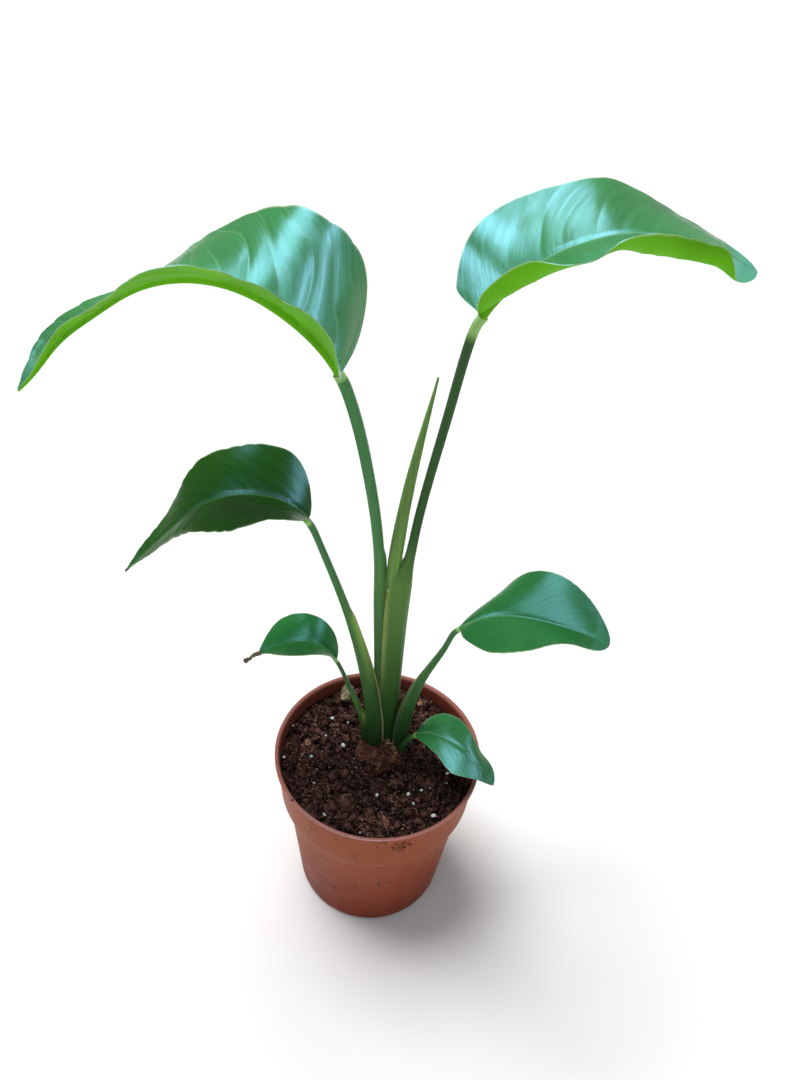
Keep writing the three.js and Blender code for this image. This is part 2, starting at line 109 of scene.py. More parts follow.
LEAVES = {
    "e": {
        "stalk": [(-1, 18, STALK_FOOT_Z), (-1, 18, 160), (-3, 18, 199), (-7, 19, 265), (-9.5, 20, 305),
                  (-15, 20, 345), (-26, 20, 396)],
        "widths": [9, 9, 9, 8.4, 7.4, 7.2, 7.2, 7.2, 6.8], "base": (-36, 20, 429), "lobe": (0, 0),
        "spread": ([0.6, 1, 1, 1, 1, 1, 0.95, 0.8, 0.8], [1, 1.16, 1.05, 0.98, 1.12, 1, 1.1, 1.4, 1.4]),
        "heading": [182, 181, 182, 184], "climb": [60, 42, 28, 6, -16, -35, -38, -51, -42],
        "left": ([12, 32, 34, 28, 20, 14, 22, 22, 20], [0, 24, 26, 26, 21, 15, 23, 22, 20]),
        "right": ([20, 42, 46, 20, 0, -8, 24, 52, 60], [20, 42, 50, 16, -2, -8, 26, 54, 60]),
    },
    "f": {
        "stalk": [(4, 19, STALK_FOOT_Z), (4, 18, 160), (4, 18, 199), (4.3, 18, 262), (5.8, 18.5, 283),
                  (9.2, 20, 304), (13, 20, 341), (22, 20, 403)],
        "widths": [15, 15, 15.4, 15.8, 14, 7.4, 6, 5.8, 5.8, 5.8], "base": (33, 20, 468), "lobe": (10, 2),
        "spread": ([1, 1, 1, 1, 1.03, 1.12, 1.22, 1.22, 1.1],
                   [0.4, 0.9, 1, 1, 1, 1, 1.05, 1.05, 1, 1, 1, 0.9, 0.7]),
        "heading": [0, 0, 0], "climb": [62, 50, 38, 27, 15, 1, -10, -20, -26],
        "left": ([50, 56, 40, 32, 28, 16, 6, 2, 2], [48, 54, 38, 28, 20, 4, -2, -2, 2]),
        "right": ([0, -14, -23, -26, -16, -10, -16, -40, -58, -66, -66, -56, -36],
                  [60, 74, 80, 76, 38, 22, 44, 72, 92, 98, 92, 10, -30]),
    },
    "d": {
        "stalk": [(-2.6, 12, STALK_FOOT_Z), (-5.2, 13, 160), (-13, 15.4, 203), (-27, 18, 253),
                  (-45, 20, 304)],
        "widths": [12.8, 12.6, 10, 6.2, 4.8, 4.8, 4.8], "base": (-54, 20, 329), "lobe": (0, 0),
        "spread": ([0.15, 1, 1, 1, 1, 1.05, 1.25, 1.5, 1],
                   [0.5, 1.08, 1.06, 0.98, 1.12, 1.18, 1.3, 1.35, 1.1]),
        "heading": [190, 194, 198], "climb": [60, 31, 12, -7, -27, -43, -44, -45, -44],
        "left": ([8, 17, 14, 5, 1, 5, 8, 12, 10], [8, 15, 7, -3, -5, -1, 4, 10, 10]),
        "right": ([32, 32, 32, 30, 24, 17, 12, 14, 14], [26, 26, 26, 20, 14, 9, 8, 12, 14]),
    },
    "c": {
        "stalk": [(13, 14, STALK_FOOT_Z), (17, 14, 165), (25, 13, 200), (38, 11, 236)],
        "widths": [12.6, 12, 7, 4.4, 4, 4], "base": (46, 8, 261), "lobe": (2, 2),
        "spread": ([0.5, 0.7, 0.98, 1.08, 1.12, 1.12, 1.05], [1, 1, 1, 1.03, 0.97, 0.85, 0.85]),
        "heading": [-14, -15, -16], "climb": [54, 28, 6, -4, -12],
        "left": ([20, 40, 40, 36, 20], [-30, -30, 34, 34, 10]),
        "right": ([-16, -16, -2, 14, -2], [-34, -26, -4, 22, -14]),
    },
    "b": {
        "stalk": [(-10, 13, STALK_FOOT_Z), (-13, 14, 152), (-25, 15, 188)],
        "widths": [6.4, 5.4, 3.4, 3, 3], "base": (-34, 16, 212), "lobe": (1, 1),
        "spread": ([0.3, 0.8, 1, 1.12, 1.25, 1.3, 1.1, 0.7, 0.5],
                   [0.9, 0.95, 0.95, 0.96, 1.02, 1.12, 1.2, 1.1, 0.9]),
        "heading": [188, 190, 192], "climb": [64, 44, 0, -22, -30],
        "left": ([10, 26, 23, 24, 20], [10, 24, 23, 24, 20]),
        "right": ([28, 28, 26, 24, 20], [22, 22, 20, 18, 16]),
        "withered": [(2.5, 0, 1), (0, 0, 0), (-3, -0.5, -1.4), (-5, 0, -3.8), (-6, 0.3, -6.2),
                     (-8, 0.3, -7.2), (-9.4, 0, -9.6)],
        "withered_widths": [2, 3, 3.6, 3.2, 3.6, 4.2, 2.4],
    },
    "a": {
        "stalk": [(16, 8, STALK_FOOT_Z), (17, 6, 131), (20, 3, 146)],
        "widths": [6, 5.4, 4.4, 4, 4], "base": (26, 0, 160), "lobe": (1, 1),
        "spread": ([1.35, 1.32, 1.24, 1.13, 0.97, 0.92, 1.1, 1.4, 1.5],
                   [0.6, 0.68, 0.7, 0.78, 1, 1.24, 1.22, 1, 0.9]),
        "heading": [-26, -30, -34], "climb": [54, 14, -8, -34, -46],
        "left": ([16, 14, 8, -10, 0], [4, 0, -14, -30, 0]),
        "right": ([-10, -16, -18, -10, 0], [-20, -28, -30, -16, 0]),
    },
}


def table(columns, rows):
    """Rows by leaf, with each value under its column's name."""
    return {leaf: dict(zip(columns.split(), row)) for leaf, row in rows.items()}


# A blade's length and half width, the share of its length where it is widest, how much slimmer its outer
# half is, how sharp its tip is, and how finely it is drawn
BLADES = table("length half widest slim tip rows columns", {
    "e": (220, 50, 0.26, 0.5, 0.8, 300, 38),
    "f": (150, 40, 0.38, 0.06, 0.4, 240, 36),
    "d": (137, 33.5, 0.32, 0.5, 1, 210, 32),
    "c": (101, 29, 0.46, 0, 0.55, 180, 32),
    "b": (64, 20, 0.46, 0.05, 0.75, 130, 26),
    "a": (74, 18, 0.46, 0.2, 0.7, 140, 26),
})

# The height and number of a blade's long waves, the depth of its ruffles, of its margin's scallops and of the
# pillows between its side veins, and how far apart, swept and bent those veins are
RELIEFS = table("wave waves ruffle scallop bulge spacing sweep bend", {
    "e": (1.2, 3, 1, 1.4, 0.95, 15, 26, 1.7),
    "f": (1, 2, 0.6, 0.5, 0.35, 14, 22, 1.6),
    "d": (1, 2, 0.7, 0.9, 0.15, 11, 40, 1.2),
    "c": (0.6, 2, 0.5, 0.3, 0.08, 7, 46, 1.15),
    "b": (0.4, 2, 0.4, 0.2, 0.08, 8, 26, 1.2),
    "a": (0.4, 2, 0.4, 0.4, 0.1, 6, 34, 1.15),
})
for key, leaf in LEAVES.items():
    leaf.update(**BLADES[key], **RELIEFS[key])

# How plain each blade's side veins and midrib are, where the midrib fades, how rough and shiny its wax is,
# how deep its fine grain is, and where along it the dead brown tip begins
LOOKS = table("vein rib rib_from rib_to gloss shine grain dry", {
    "e": (0.48, 0.4, 0.5, 1, 0.25, 0.72, 0.1, 1.1),
    "f": (0.1, 0.5, 0.3, 0.9, 0.24, 0.85, 0.1, 1.1),
    "d": (0.05, 0.34, 0.3, 0.8, 0.24, 0.24, 0.03, 0.97),
    "c": (0.05, 0.4, 0.15, 0.5, 0.22, 0.32, 0.1, 0.985),
    "b": (0.04, 0.22, 0.3, 0.9, 0.22, 0.22, 0.1, 0.96),
    "a": (0.04, 0.45, 0.25, 0.6, 0.24, 0.5, 0.1, 1.1),
})

# Of each stalk: how dark its bare part is, how grey, how plainly its sheath yellows at the fork and pales
# beside its margin, how tan and how wide that pale zone is, in turns, from which share of its height on, how
# plain the line on its margin is, and how long the pale joint under its blade is
STALK_LOOKS = table("old grey sheath glow tan spread from line joint", {
    "e": (0.1, 0.1, 0.3, 0.1, 0.5, 0.09, 0.25, 0.15, 5),
    "f": (1, 0, 0.8, 0.6, 0.4, 0.13, 0.25, 0.6, 16),
    "d": (0.25, 0.1, 0.45, 0.85, 0, 0.3, 0.4, 0.75, 5),
    "c": (0.45, 0.3, 0.1, 0.2, 0.5, 0.09, 0.25, 0.4, 4),
    "b": (0.5, 0.3, 0.6, 0.6, 0, 0.2, 0.25, 0.2, 3),
    "a": (0.3, 0.3, 0.2, 0, 0, 0.09, 0.25, 0, 3),
})

# Where a clasping sheath's free margin runs, as height and turn round the stalk. Turns are in degrees, 0 to
# the right of the photograph and -90 towards its viewer. Above the last height the margin fades.
SHEATH_MARGINS = {
    "f": [(112, -128), (160, -140), (220, -152), (262, -160), (283, -176), (300, -200)],
    "d": [(112, -26), (150, -24), (175, -16), (203, -4), (230, 8), (252, 16)],
    "c": [(112, -120), (150, -135), (185, -150), (205, -170)],
    "e": [(200, -60), (262, -40), (292, -10), (305, 14)],
    "b": [(112, -60), (140, -50), (160, -30)],
}
MARGIN_STEP = 0.7

SPEAR_POINTS = [(4, 19, 246), (2.4, 19, 266), (0, 19, 290), (5, 18, 356), (15.4, 18, 432)]
SPEAR_WIDTHS = [4, 6, 8.4, 7, 1.2]
# Where the rolled edge stands at the foot, and how far it winds round to the tip, in degrees
SEAM_START, SEAM_TURN = -150, 250

# Read off the photograph, in its pixels, and set down on the soil
PERLITE_PIXELS = [
    (447, 775), (446, 786), (421, 792), (430, 790), (408, 798), (413, 806), (433, 818), (377, 796),
    (360, 835), (314, 786), (324, 817), (348, 724), (332, 721), (326, 736), (366, 711), (311, 759),
    (284, 760), (293, 727), (343, 748), (386, 748), (395, 755),
]
# Of each chip of bark: its pixel, half sizes and how far its middle stands over the soil
BARK_CHIPS = [((385, 822), (2.6, 5.2, 3.2), 1.6), ((421, 705), (2.2, 3.4, 1.6), 0.6),
              ((308, 742), (2.2, 3.4, 1.6), 0.6)]
MOSS_PIXEL = (347, 697)
ROUND_CLOD_PIXEL = (345, 806)
# The middle of a painted shadow on the soil under the low leaf, and how many millimetres round it have no dry
# crumbs, so that the soil there stays dark
LEAF_SHADOW_PIXEL, LEAF_SHADOW_REACH = (438, 779), 22
DRY_PIXELS = [(306, 762), (325, 790), (368, 818), (350, 815), (400, 745), (421, 703), (335, 724)]
SMEAR_PIXEL = (401, 846)
TORN_PIXELS = [(389, 744), (391, 749), (386, 741), (395, 752), (393, 745)]

# The way from the pot's middle to the side with the most specks
SPECKED_SIDE = (-0.6, -0.8, 0)


def linear(hex_colour):
    """Scene-linear red, green and blue of an sRGB hex value."""
    parts = [int(hex_colour[i:i + 2], 16) / 255 for i in (1, 3, 5)]
    return tuple(c / 12.92 if c <= 0.04045 else ((c + 0.055) / 1.055) ** 2.4 for c in parts)


def colour_setting(name, description, hex_colour):
    """A colour that the sidebar can change."""
    return FloatVectorProperty(
        name=name, description=description, subtype="COLOR", size=3, min=0, max=1,
        default=linear(hex_colour),
    )


def length_setting(name, description, millimetres):
    """A length that the sidebar can change, in metres as the scene is."""
    return FloatProperty(
        name=name, description=description, subtype="DISTANCE", unit="LENGTH", min=0,
        precision=5, default=millimetres * MM,
    )


class PotSettings(bpy.types.PropertyGroup):
    """The pot's finish"""

    plastic: colour_setting("Plastic", "Terracotta-coloured polypropylene", "#9b502f")
    # Low wall: the plastic painted darker near the floor as shade
    low: colour_setting("Low wall", "Wall near the floor, dulled by dried water", "#863419")
    # Inner wall: the plastic painted darker as the shade inside the pot
    inner: colour_setting("Inner wall", "Wall over the soil, stained by wet peat", "#8a4032")
    # Lip: the plastic painted paler and pinker as a highlight along the rim
    lip: colour_setting("Lip", "Lip, rubbed a little pale", "#a8685a")
    dirt: colour_setting("Dirt", "Specks of peat on the wall", "#481f14")
    lip_round: length_setting("Lip rounding", "Radius of the lip's outer edge", 0.6)
    sides: IntProperty(name="Sides", description="Facets round the pot", default=160, min=32, max=256)


class SoilSettings(bpy.types.PropertyGroup):
    """The peat and what lies in it"""

    peat: colour_setting("Moist peat", "Peat between the crumbs", "#0f0807")
    crumb: colour_setting("Peat crumbs", "Moist crumbs", "#6b4a44")
    dry: colour_setting("Dry crumbs", "Crumbs that have dried on top", "#a67a66")
    fibre: colour_setting("Fibre", "Coir and root fibres", "#8f6c58")
    straw: colour_setting("Straw", "Pale dead fibres", "#bd9a78")
    moss: colour_setting("Moss", "Dry moss on a coarse lump", "#a3957a")
    perlite: colour_setting("Perlite", "Expanded white grains", "#dfe8ec")
    bark: colour_setting("Bark", "Chips of composted bark", "#a87c64")
    grain: length_setting("Crumb size", "A middling crumb", 2.1)
    crumbs: IntProperty(name="Crumbs", description="Moist crumbs on the soil", default=4600, min=0)
    dry_crumbs: IntProperty(name="Dry crumbs", description="Dry crumbs on the soil", default=2200, min=0)
    clods: IntProperty(name="Clods", description="Larger lumps of peat on the soil", default=60, min=0)
    fibres: IntProperty(name="Fibres", description="Fibres on the soil", default=440, min=0)


class RootSettings(bpy.types.PropertyGroup):
    """The fibrous root crown"""

    skin: colour_setting("Skin", "Old root skin", "#26120e")
    light: colour_setting("Worn skin", "Root skin on its ridges", "#85544a")
    thread: colour_setting("Threads", "Torn root threads", "#a0705b")
    straw: colour_setting("Straw", "Pale torn threads", "#cfa680")
    relief: length_setting("Relief", "Depth of the ridges and pits", 2.8)
    threads: IntProperty(name="Threads", description="Threads on the crown", default=420, min=0)


class StalkSettings(bpy.types.PropertyGroup):
    """The leaf stalks and their sheaths"""

    stalk: colour_setting("Stalk", "Bare upper stalk", "#478a4b")
    old: colour_setting("Dark stalk", "Bare stalk of the tallest leaf", "#2b561c")
    grey: colour_setting("Grey stalk", "Stalk with a thin waxy bloom", "#5c7550")
    sheath: colour_setting("Sheath", "Young sheath at the fork", "#62903a")
    # Foot: green painted darker as the shade that the leaves cast on the stalks' feet
    foot: colour_setting("Foot", "Sheath at the soil", "#1f481b")
    margin: colour_setting("Margin", "Dry margin of a sheath", "#cbb08c")
    glow: colour_setting("Thin sheath", "Sheath beside its margin, thin enough to glow", "#a9d05f")
    joint: colour_setting("Joint", "Pale joint under a blade", "#a3cf78")
    step: length_setting("Margin step", "How thick the sheath's free margin is", MARGIN_STEP)


class BladeSettings(bpy.types.PropertyGroup):
    """The leaf blades"""

    upper_high: colour_setting("Upper leaves", "Upper face of the two large leaves", "#3a8c49")
    upper_low: colour_setting("Lower leaves", "Upper face of the small leaves", "#2a763a")
    upper_dark: colour_setting("Dark leaf", "Upper face of the oldest leaf", "#235812")
    under: colour_setting("Underside", "Underside with light coming through", "#60aa1a")
    vein: colour_setting("Veins", "Midrib and side veins", "#7fb584")
    margin: colour_setting("Margin", "Thin pale edge", "#b4cf9a")
    dry: colour_setting("Dry tip", "Brown dead tissue", "#5f5545")
    thickness: length_setting("Thickness", "Blade beside the midrib", BLADE_THICKNESS)
    groove: length_setting("Midrib groove", "Depth of the channel over the midrib", 0.7)


class SpearSettings(bpy.types.PropertyGroup):
    """The rolled new leaf"""

    skin: colour_setting("Skin", "Rolled young leaf", "#78a84c")
    edge: colour_setting("Edge", "Pale overlapping edge", "#a9c27c")
    overlap: length_setting("Overlap", "Step of the rolled edge", 0.8)


class StageSettings(bpy.types.PropertyGroup):
    """Floor, lamps and sky"""

    floor: colour_setting("Floor", "Pale matte floor", "#f6f6f5")
    window: colour_setting("Window lamps", "Softboxes the colour of a clear sky", "#97d4ff")
    radiance: FloatProperty(
        name="Window brightness", description="Brightness of the softboxes, in watts per square metre",
        default=58, min=0,
    )
    day: FloatProperty(name="Daylight", description="Soft daylight from high on the left", default=3.1, min=0)
    sky: FloatProperty(name="Room", description="Strength of the even light all round", default=0.32, min=0)


# Meshes
def polar(radius, turn):
    """Level x and y at a radius and a turn in radians."""
    return radius * math.cos(turn), radius * math.sin(turn)


def add_piece(name, points, faces, materials, finishes=None, maps=None, crease=42):
    """A mesh of the plant, from points in millimetres. Finishes give each face its material, and maps give
    each point its place in a named UV map. Edges sharper than the crease angle are shaded sharp."""
    mesh = bpy.data.meshes.new(name)
    mesh.from_pydata((np.asarray(points, float) * MM).tolist(), [], [list(f) for f in faces])
    for material in materials:
        mesh.materials.append(material)
    if finishes is not None:
        mesh.polygons.foreach_set("material_index", finishes)
    corners = np.zeros(len(mesh.loops), np.int32)
    mesh.loops.foreach_get("vertex_index", corners)
    for map_name, values in (maps or {}).items():
        layer = mesh.uv_layers.new(name=map_name)
        layer.data.foreach_set("uv", np.asarray(values, float)[corners].ravel())
    mesh.polygons.foreach_set("use_smooth", [True] * len(mesh.polygons))
    mesh.set_sharp_from_angle(angle=math.radians(crease))
    mesh.update()
    piece = bpy.data.objects.new(name, mesh)
    bpy.context.scene.collection.objects.link(piece)
    return piece


def settle(piece, slot, *nodes):
    """Makes a finished piece part of the plant, in place of the CAD nodes that it stands for."""
    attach(piece, BODY)
    if nodes:
        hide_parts(*nodes)


def tube_faces(loops, sides, start=0):
    """Faces of a closed tube: its side, and a fan over each end. The two end points come after the loops."""
    faces = []
    for i in range(loops - 1):
        for j in range(sides):
            a = start + i * sides + j
            b = start + i * sides + (j + 1) % sides
            faces.append((a, b, b + sides, a + sides))
    foot = start + loops * sides
    last = start + (loops - 1) * sides
    for j in range(sides):
        after = (j + 1) % sides
        faces.append((foot, start + after, start + j))
        faces.append((foot + 1, last + j, last + after))
    return faces


# A heap is the list of points and the list of faces of many small bodies that make up one piece
def thread(heap, path, radius, taper=0.6, sides=4):
    """Adds a thin thread along a path to a heap. Its radius shrinks by the taper's share at its end."""
    points, faces = heap
    start, last = len(points), len(path) - 1
    path = [Vector(p) for p in path]
    for i, place in enumerate(path):
        ahead = (path[min(i + 1, last)] - path[max(i - 1, 0)]).normalized()
        helper = Vector((0, 0, 1)) if abs(ahead.z) < 0.9 else Vector((1, 0, 0))
        wide = ahead.cross(helper).normalized()
        deep = ahead.cross(wide)
        here = radius * (1 - taper * i / last)
        for j in range(sides):
            turn = 2 * math.pi * j / sides
            points.append(place + here * (wide * math.cos(turn) + deep * math.sin(turn)))
    points.extend((path[0], path[-1]))
    faces.extend(tube_faces(len(path), sides, start))


GOLDEN = (1 + math.sqrt(5)) / 2
# An icosahedron's corners, about how far they stand from its middle, and how long its edges are at most
CORNERS = [corner for s in (-1, 1) for g in (-GOLDEN, GOLDEN) for corner in ((0, s, g), (s, g, 0), (g, 0, s))]
CORNER_REACH, EDGE_LENGTH = 1.9, 2.1


def icosahedron_faces():
    """The 20 faces between those corners, wound outwards."""
    faces = []
    for a, b, c in combinations(range(len(CORNERS)), 3):
        p, q, r = (Vector(CORNERS[k]) for k in (a, b, c))
        if max((p - q).length, (q - r).length, (r - p).length) < EDGE_LENGTH:
            faces.append((a, b, c) if (q - p).cross(r - p).dot(p) > 0 else (a, c, b))
    return faces


ICOSAHEDRON = icosahedron_faces()


def grain(heap, centre, size, draw, squash=0.7):
    """Adds one angular crumb, a jolted icosahedron, to a heap."""
    points, faces = heap
    start = len(points)
    turn = draw.uniform(0, 2 * math.pi)
    axis = Vector((draw.uniform(-1, 1), draw.uniform(-1, 1), draw.uniform(0.1, 1))).normalized()
    spin = Matrix.Rotation(turn, 3, axis)
    stretch = [draw.uniform(0.7, 1.3) for _ in range(3)]
    for corner in CORNERS:
        jolt = draw.uniform(0.75, 1.15) * size / (2 * CORNER_REACH)
        local = spin @ Vector([c * k * jolt for c, k in zip(corner, stretch)])
        points.append(Vector(centre) + Vector((local.x, local.y, local.z * squash)))
    faces.extend([tuple(start + k for k in face) for face in ICOSAHEDRON])


def lump(heap, centre, radii, turn, rough, seed, sides=26):
    """Adds a closed rough lump of given half sizes, turned about the upright, to a heap."""
    points, faces = heap
    start, rings = len(points), sides // 2
    spin = Matrix.Rotation(turn, 3, "Z")
    for i in range(1, rings):
        for j in range(sides):
            slope = math.pi * i / rings
            out = Vector((*polar(math.sin(slope), 2 * math.pi * j / sides), -math.cos(slope)))
            swell = 1 + rough * noise.fractal(out * 1.7 + Vector((seed, 0, 0)), 0.8, 2, 4)
            points.append(Vector(centre) + spin @ Vector([o * r * swell for o, r in zip(out, radii)]))
    points.extend(Vector(centre) + Vector((0, 0, way * radii[2])) for way in (-1, 1))
    faces.extend(tube_faces(rings - 1, sides, start))


# Curves
def neighbours(values, t):
    """The four values round t from 0 to 1, and how far t is from the second to the third."""
    last = len(values) - 1
    place = min(max(t, 0), 1) * last
    i = min(int(place), last - 1)
    b, c = values[i], values[i + 1]
    a = values[i - 1] if i > 0 else 2 * b - c
    d = values[i + 2] if i + 2 <= last else 2 * c - b
    return a, b, c, d, place - i


def along(values, t):
    """Smooth value at t from 0 to 1, through values at even steps."""
    a, b, c, d, f = neighbours(values, t)
    cubic = (-a + 3 * b - 3 * c + d) * f ** 3
    return 0.5 * (2 * b + (c - a) * f + (2 * a - 5 * b + 4 * c - d) * f ** 2 + cubic)


def smooth_step(x, low, high):
    """0 below low, 1 above high and a smooth ramp between them."""
    x = min(max((x - low) / (high - low), 0), 1)
    return x * x * (3 - 2 * x)


def curve_point(points, t):
    """A point on the centripetal Catmull-Rom curve through points."""
    a, b, c, d, f = neighbours(points, t)
    gaps = [max((q - p).length ** 0.5, 1e-4) for p, q in ((a, b), (b, c), (c, d))]
    start = ((b - a) / gaps[0] - (c - a) / (gaps[0] + gaps[1]) + (c - b) / gaps[1]) * gaps[1]
    end = ((c - b) / gaps[1] - (d - b) / (gaps[1] + gaps[2]) + (d - c) / gaps[2]) * gaps[1]
    return (
        b + start * f
        + (-3 * b + 3 * c - 2 * start - end) * f ** 2
        + (2 * b - 2 * c + start + end) * f ** 3
    )


def direction(heading, climb):
    """The unit vector of a compass turn and a slope, in degrees."""
    h, c = math.radians(heading), math.radians(climb)
    return Vector((math.cos(c) * math.cos(h), math.cos(c) * math.sin(h), math.sin(c)))


def camera_axes():
    """Right, up and forward of the photograph's camera."""
    pitch, roll = math.radians(CAMERA_PITCH), math.radians(CAMERA_ROLL)
    forward = Vector((0, math.cos(pitch), -math.sin(pitch)))
    level, up = Vector((1, 0, 0)), Vector((0, math.sin(pitch), math.cos(pitch)))
    right = math.cos(roll) * level + math.sin(roll) * up
    return right, math.cos(roll) * up - math.sin(roll) * level, forward


def on_soil(pixel, level=SOIL_Z):
    """Where the ray through a pixel of the photograph meets the soil's level, or another one."""
    right, up, forward = camera_axes()
    ray = (
        forward
        + right * ((pixel[0] - PHOTO_WIDTH / 2) / FOCAL_PIXELS)
        - up * ((pixel[1] - PHOTO_HEIGHT / 2) / FOCAL_PIXELS)
    )
    return CAMERA_PLACE + ray * ((level - CAMERA_PLACE.z) / ray.z)


# Materials
SMOOTH = {"interpolation_type": "SMOOTHSTEP"}

# Sizes of the materials' patterns, in millimetres
LEAF_PATCH, LEAF_CELL = 29.41, 0.5263
STALK_STRIPE, STALK_STRIPE_LENGTH = 1.4286, 125
SPEAR_STRIPE, SPEAR_STRIPE_LENGTH = 1.25, 71.43
POT_CLOUD, POT_TOOTH = 41.67, 0.7143
SPECK_SPACING, SPECK_PATCH = 3.03, 14.286
PAPER_TOOTH = 3.333
# How many grains wide a patch of one tone is in peat, bark and the like
PATCH_GRAINS = 9


def scale_of(size):
    """A texture's scale, for a pattern of a size in millimetres."""
    return 1 / (size * MM)


def shade(colour, factor):
    """A colour made darker or lighter."""
    return tuple(min(c * factor, 1) for c in colour)


def mixed(first, second, share):
    """A colour between two others."""
    return tuple(a + (b - a) * share for a, b in zip(first, second))


def add_node(tree, kind, sockets=(), stops=(), **settings):
    """Adds a node with its settings. Its sockets, in a list from the first on or else by name or number, take
    values and links, and a link is from a node's first output unless another is given. Stops are the places
    and colours of a ramp."""
    made = tree.nodes.new("ShaderNode" + kind)
    for name, value in settings.items():
        setattr(made, name, value)
    for socket, value in sockets.items() if isinstance(sockets, dict) else enumerate(sockets):
        if isinstance(value, bpy.types.Node):
            value = value.outputs[0]
        if isinstance(value, bpy.types.NodeSocket):
            tree.links.new(value, made.inputs[socket])
        else:
            made.inputs[socket].default_value = value
    for _ in stops[2:]:
        made.color_ramp.elements.new(0.5)
    for i, (place, colour) in enumerate(stops):
        made.color_ramp.elements[i].position = place
        made.color_ramp.elements[i].color = (*colour, 1)
    return made


def new_material(name):
    """A material with an empty node tree, and the function that adds nodes to it."""
    material = bpy.data.materials.new(name)
    material.use_nodes = True
    material.node_tree.nodes.clear()
    return material, partial(add_node, material.node_tree)


def lay_over(add, colour, layers):
    """Colours laid over another, each as plain as its mask times its share."""
    for mask, share, over in layers:
        faint = add("Math", [mask, share], operation="MULTIPLY")
        colour = add("Mix", {0: faint, 6: colour, 7: (*over, 1)}, data_type="RGBA").outputs[2]
    return colour


def finish_material(add, sockets, height, depth, strength):
    """Joins colour, roughness and a relief of a depth in millimetres to the shader."""
    relief = add("Bump", {"Strength": strength, "Distance": depth * MM, "Height": height})
    shader = add("BsdfPrincipled", {**sockets, "Normal": relief})
    add("OutputMaterial", {"Surface": shader})


def blade_material(name, settings, base, upper, look):
    """Living leaf under its own wax: a smooth waxed skin that gives broad soft reflections above, streaked
    along the side veins and worn dull at the tip, and a duller yellow-green below where light comes through.
    Side veins stand a few millimetres apart; the finest ones, under a millimetre apart in life, are drawn at
    about one so that they show."""
    material, add = new_material(name)
    form = add("SeparateXYZ", [add("UVMap", uv_map="Form")])
    length_share, width_share = form.outputs["X"], form.outputs["Y"]
    veins = add("SeparateXYZ", [add("UVMap", uv_map="Veins")])
    phase, from_rib = veins.outputs["X"], veins.outputs["Y"]
    place = add("TexCoord").outputs["Object"]
    patches = add("TexNoise", {"Vector": place, "Scale": scale_of(LEAF_PATCH), "Detail": 2})
    cells = add("TexNoise", {"Vector": place, "Scale": scale_of(LEAF_CELL), "Detail": 2})
    streak_phase = add("Math", [phase, 5], operation="MULTIPLY")
    streak_reach = add("Math", [width_share, 3], operation="MULTIPLY")
    streak_place = add("CombineXYZ", [streak_phase, streak_reach])
    streaks = add("TexNoise", {"Vector": streak_place, "Scale": 1, "Detail": 3, "Roughness": 0.6})
    to_vein = add("Math", [phase, 0.5], operation="PINGPONG")
    vein_line = add("MapRange", [to_vein, 0, 0.04, 1, 0], **SMOOTH)
    fine_phase = add("Math", [phase, 9], operation="MULTIPLY")
    fine = add("Math", [fine_phase, 0.5], operation="PINGPONG")
    rib_width = add("MapRange", [from_rib, 0.2 / MAP_UNIT, 1 / MAP_UNIT, 1, 0], **SMOOTH)
    rib_fade = add("MapRange", [length_share, look["rib_from"], look["rib_to"], 1, 0.2], **SMOOTH)
    rib_line = add("Math", [rib_width, rib_fade], operation="MULTIPLY")
    off_middle = add("Math", [width_share, 0.5], operation="SUBTRACT")
    outward = add("Math", [off_middle], operation="ABSOLUTE")
    edge_line = add("MapRange", [outward, 0.486, 0.497, 0, 1], **SMOOTH)
    wander = add("Math", [patches, 0.05, length_share], operation="MULTIPLY_ADD")
    dry = add("MapRange", [wander, look["dry"] + 0.02, look["dry"] + 0.04, 0, 1], **SMOOTH)
    green = add("ValToRGB", [patches], stops=[(0.3, shade(base, 0.86)), (0.7, shade(base, 1.14))])
    vein_colour = settings.vein if upper else shade(base, 1.25)
    colour = lay_over(add, green, (
        (fine, 0.16 if upper else 0.4, shade(base, 1.3)),
        (vein_line, look["vein"], vein_colour),
        (rib_line, look["rib"], vein_colour),
        (edge_line, 0.5, settings.margin),
        (dry, 1, settings.dry),
    ))
    fine_relief = add("Math", [fine, 0.2, cells], operation="MULTIPLY_ADD")
    height = add("Math", [streaks, 1.6, fine_relief], operation="MULTIPLY_ADD")
    gloss = look["gloss"] if upper else 0.55
    waxed = add("MapRange", [streaks, 0.35, 0.65, gloss - 0.03, gloss + 0.12])
    tip_wear = add("MapRange", [length_share, 0.84, 0.96, 0, 0.75], **SMOOTH)
    roughness = add("Math", [waxed, tip_wear], operation="MAXIMUM")
    tip_calm = add("MapRange", [length_share, 0.8, 0.94, 1, 0.05], **SMOOTH)
    calmed = add("Math", [height, tip_calm], operation="MULTIPLY")
    finish_material(add, {"IOR": 1.45, "Specular IOR Level": look["shine"] if upper else 0.03,
                          "Base Color": colour, "Roughness": roughness}, calmed, look["grain"], 0.5)
    return material


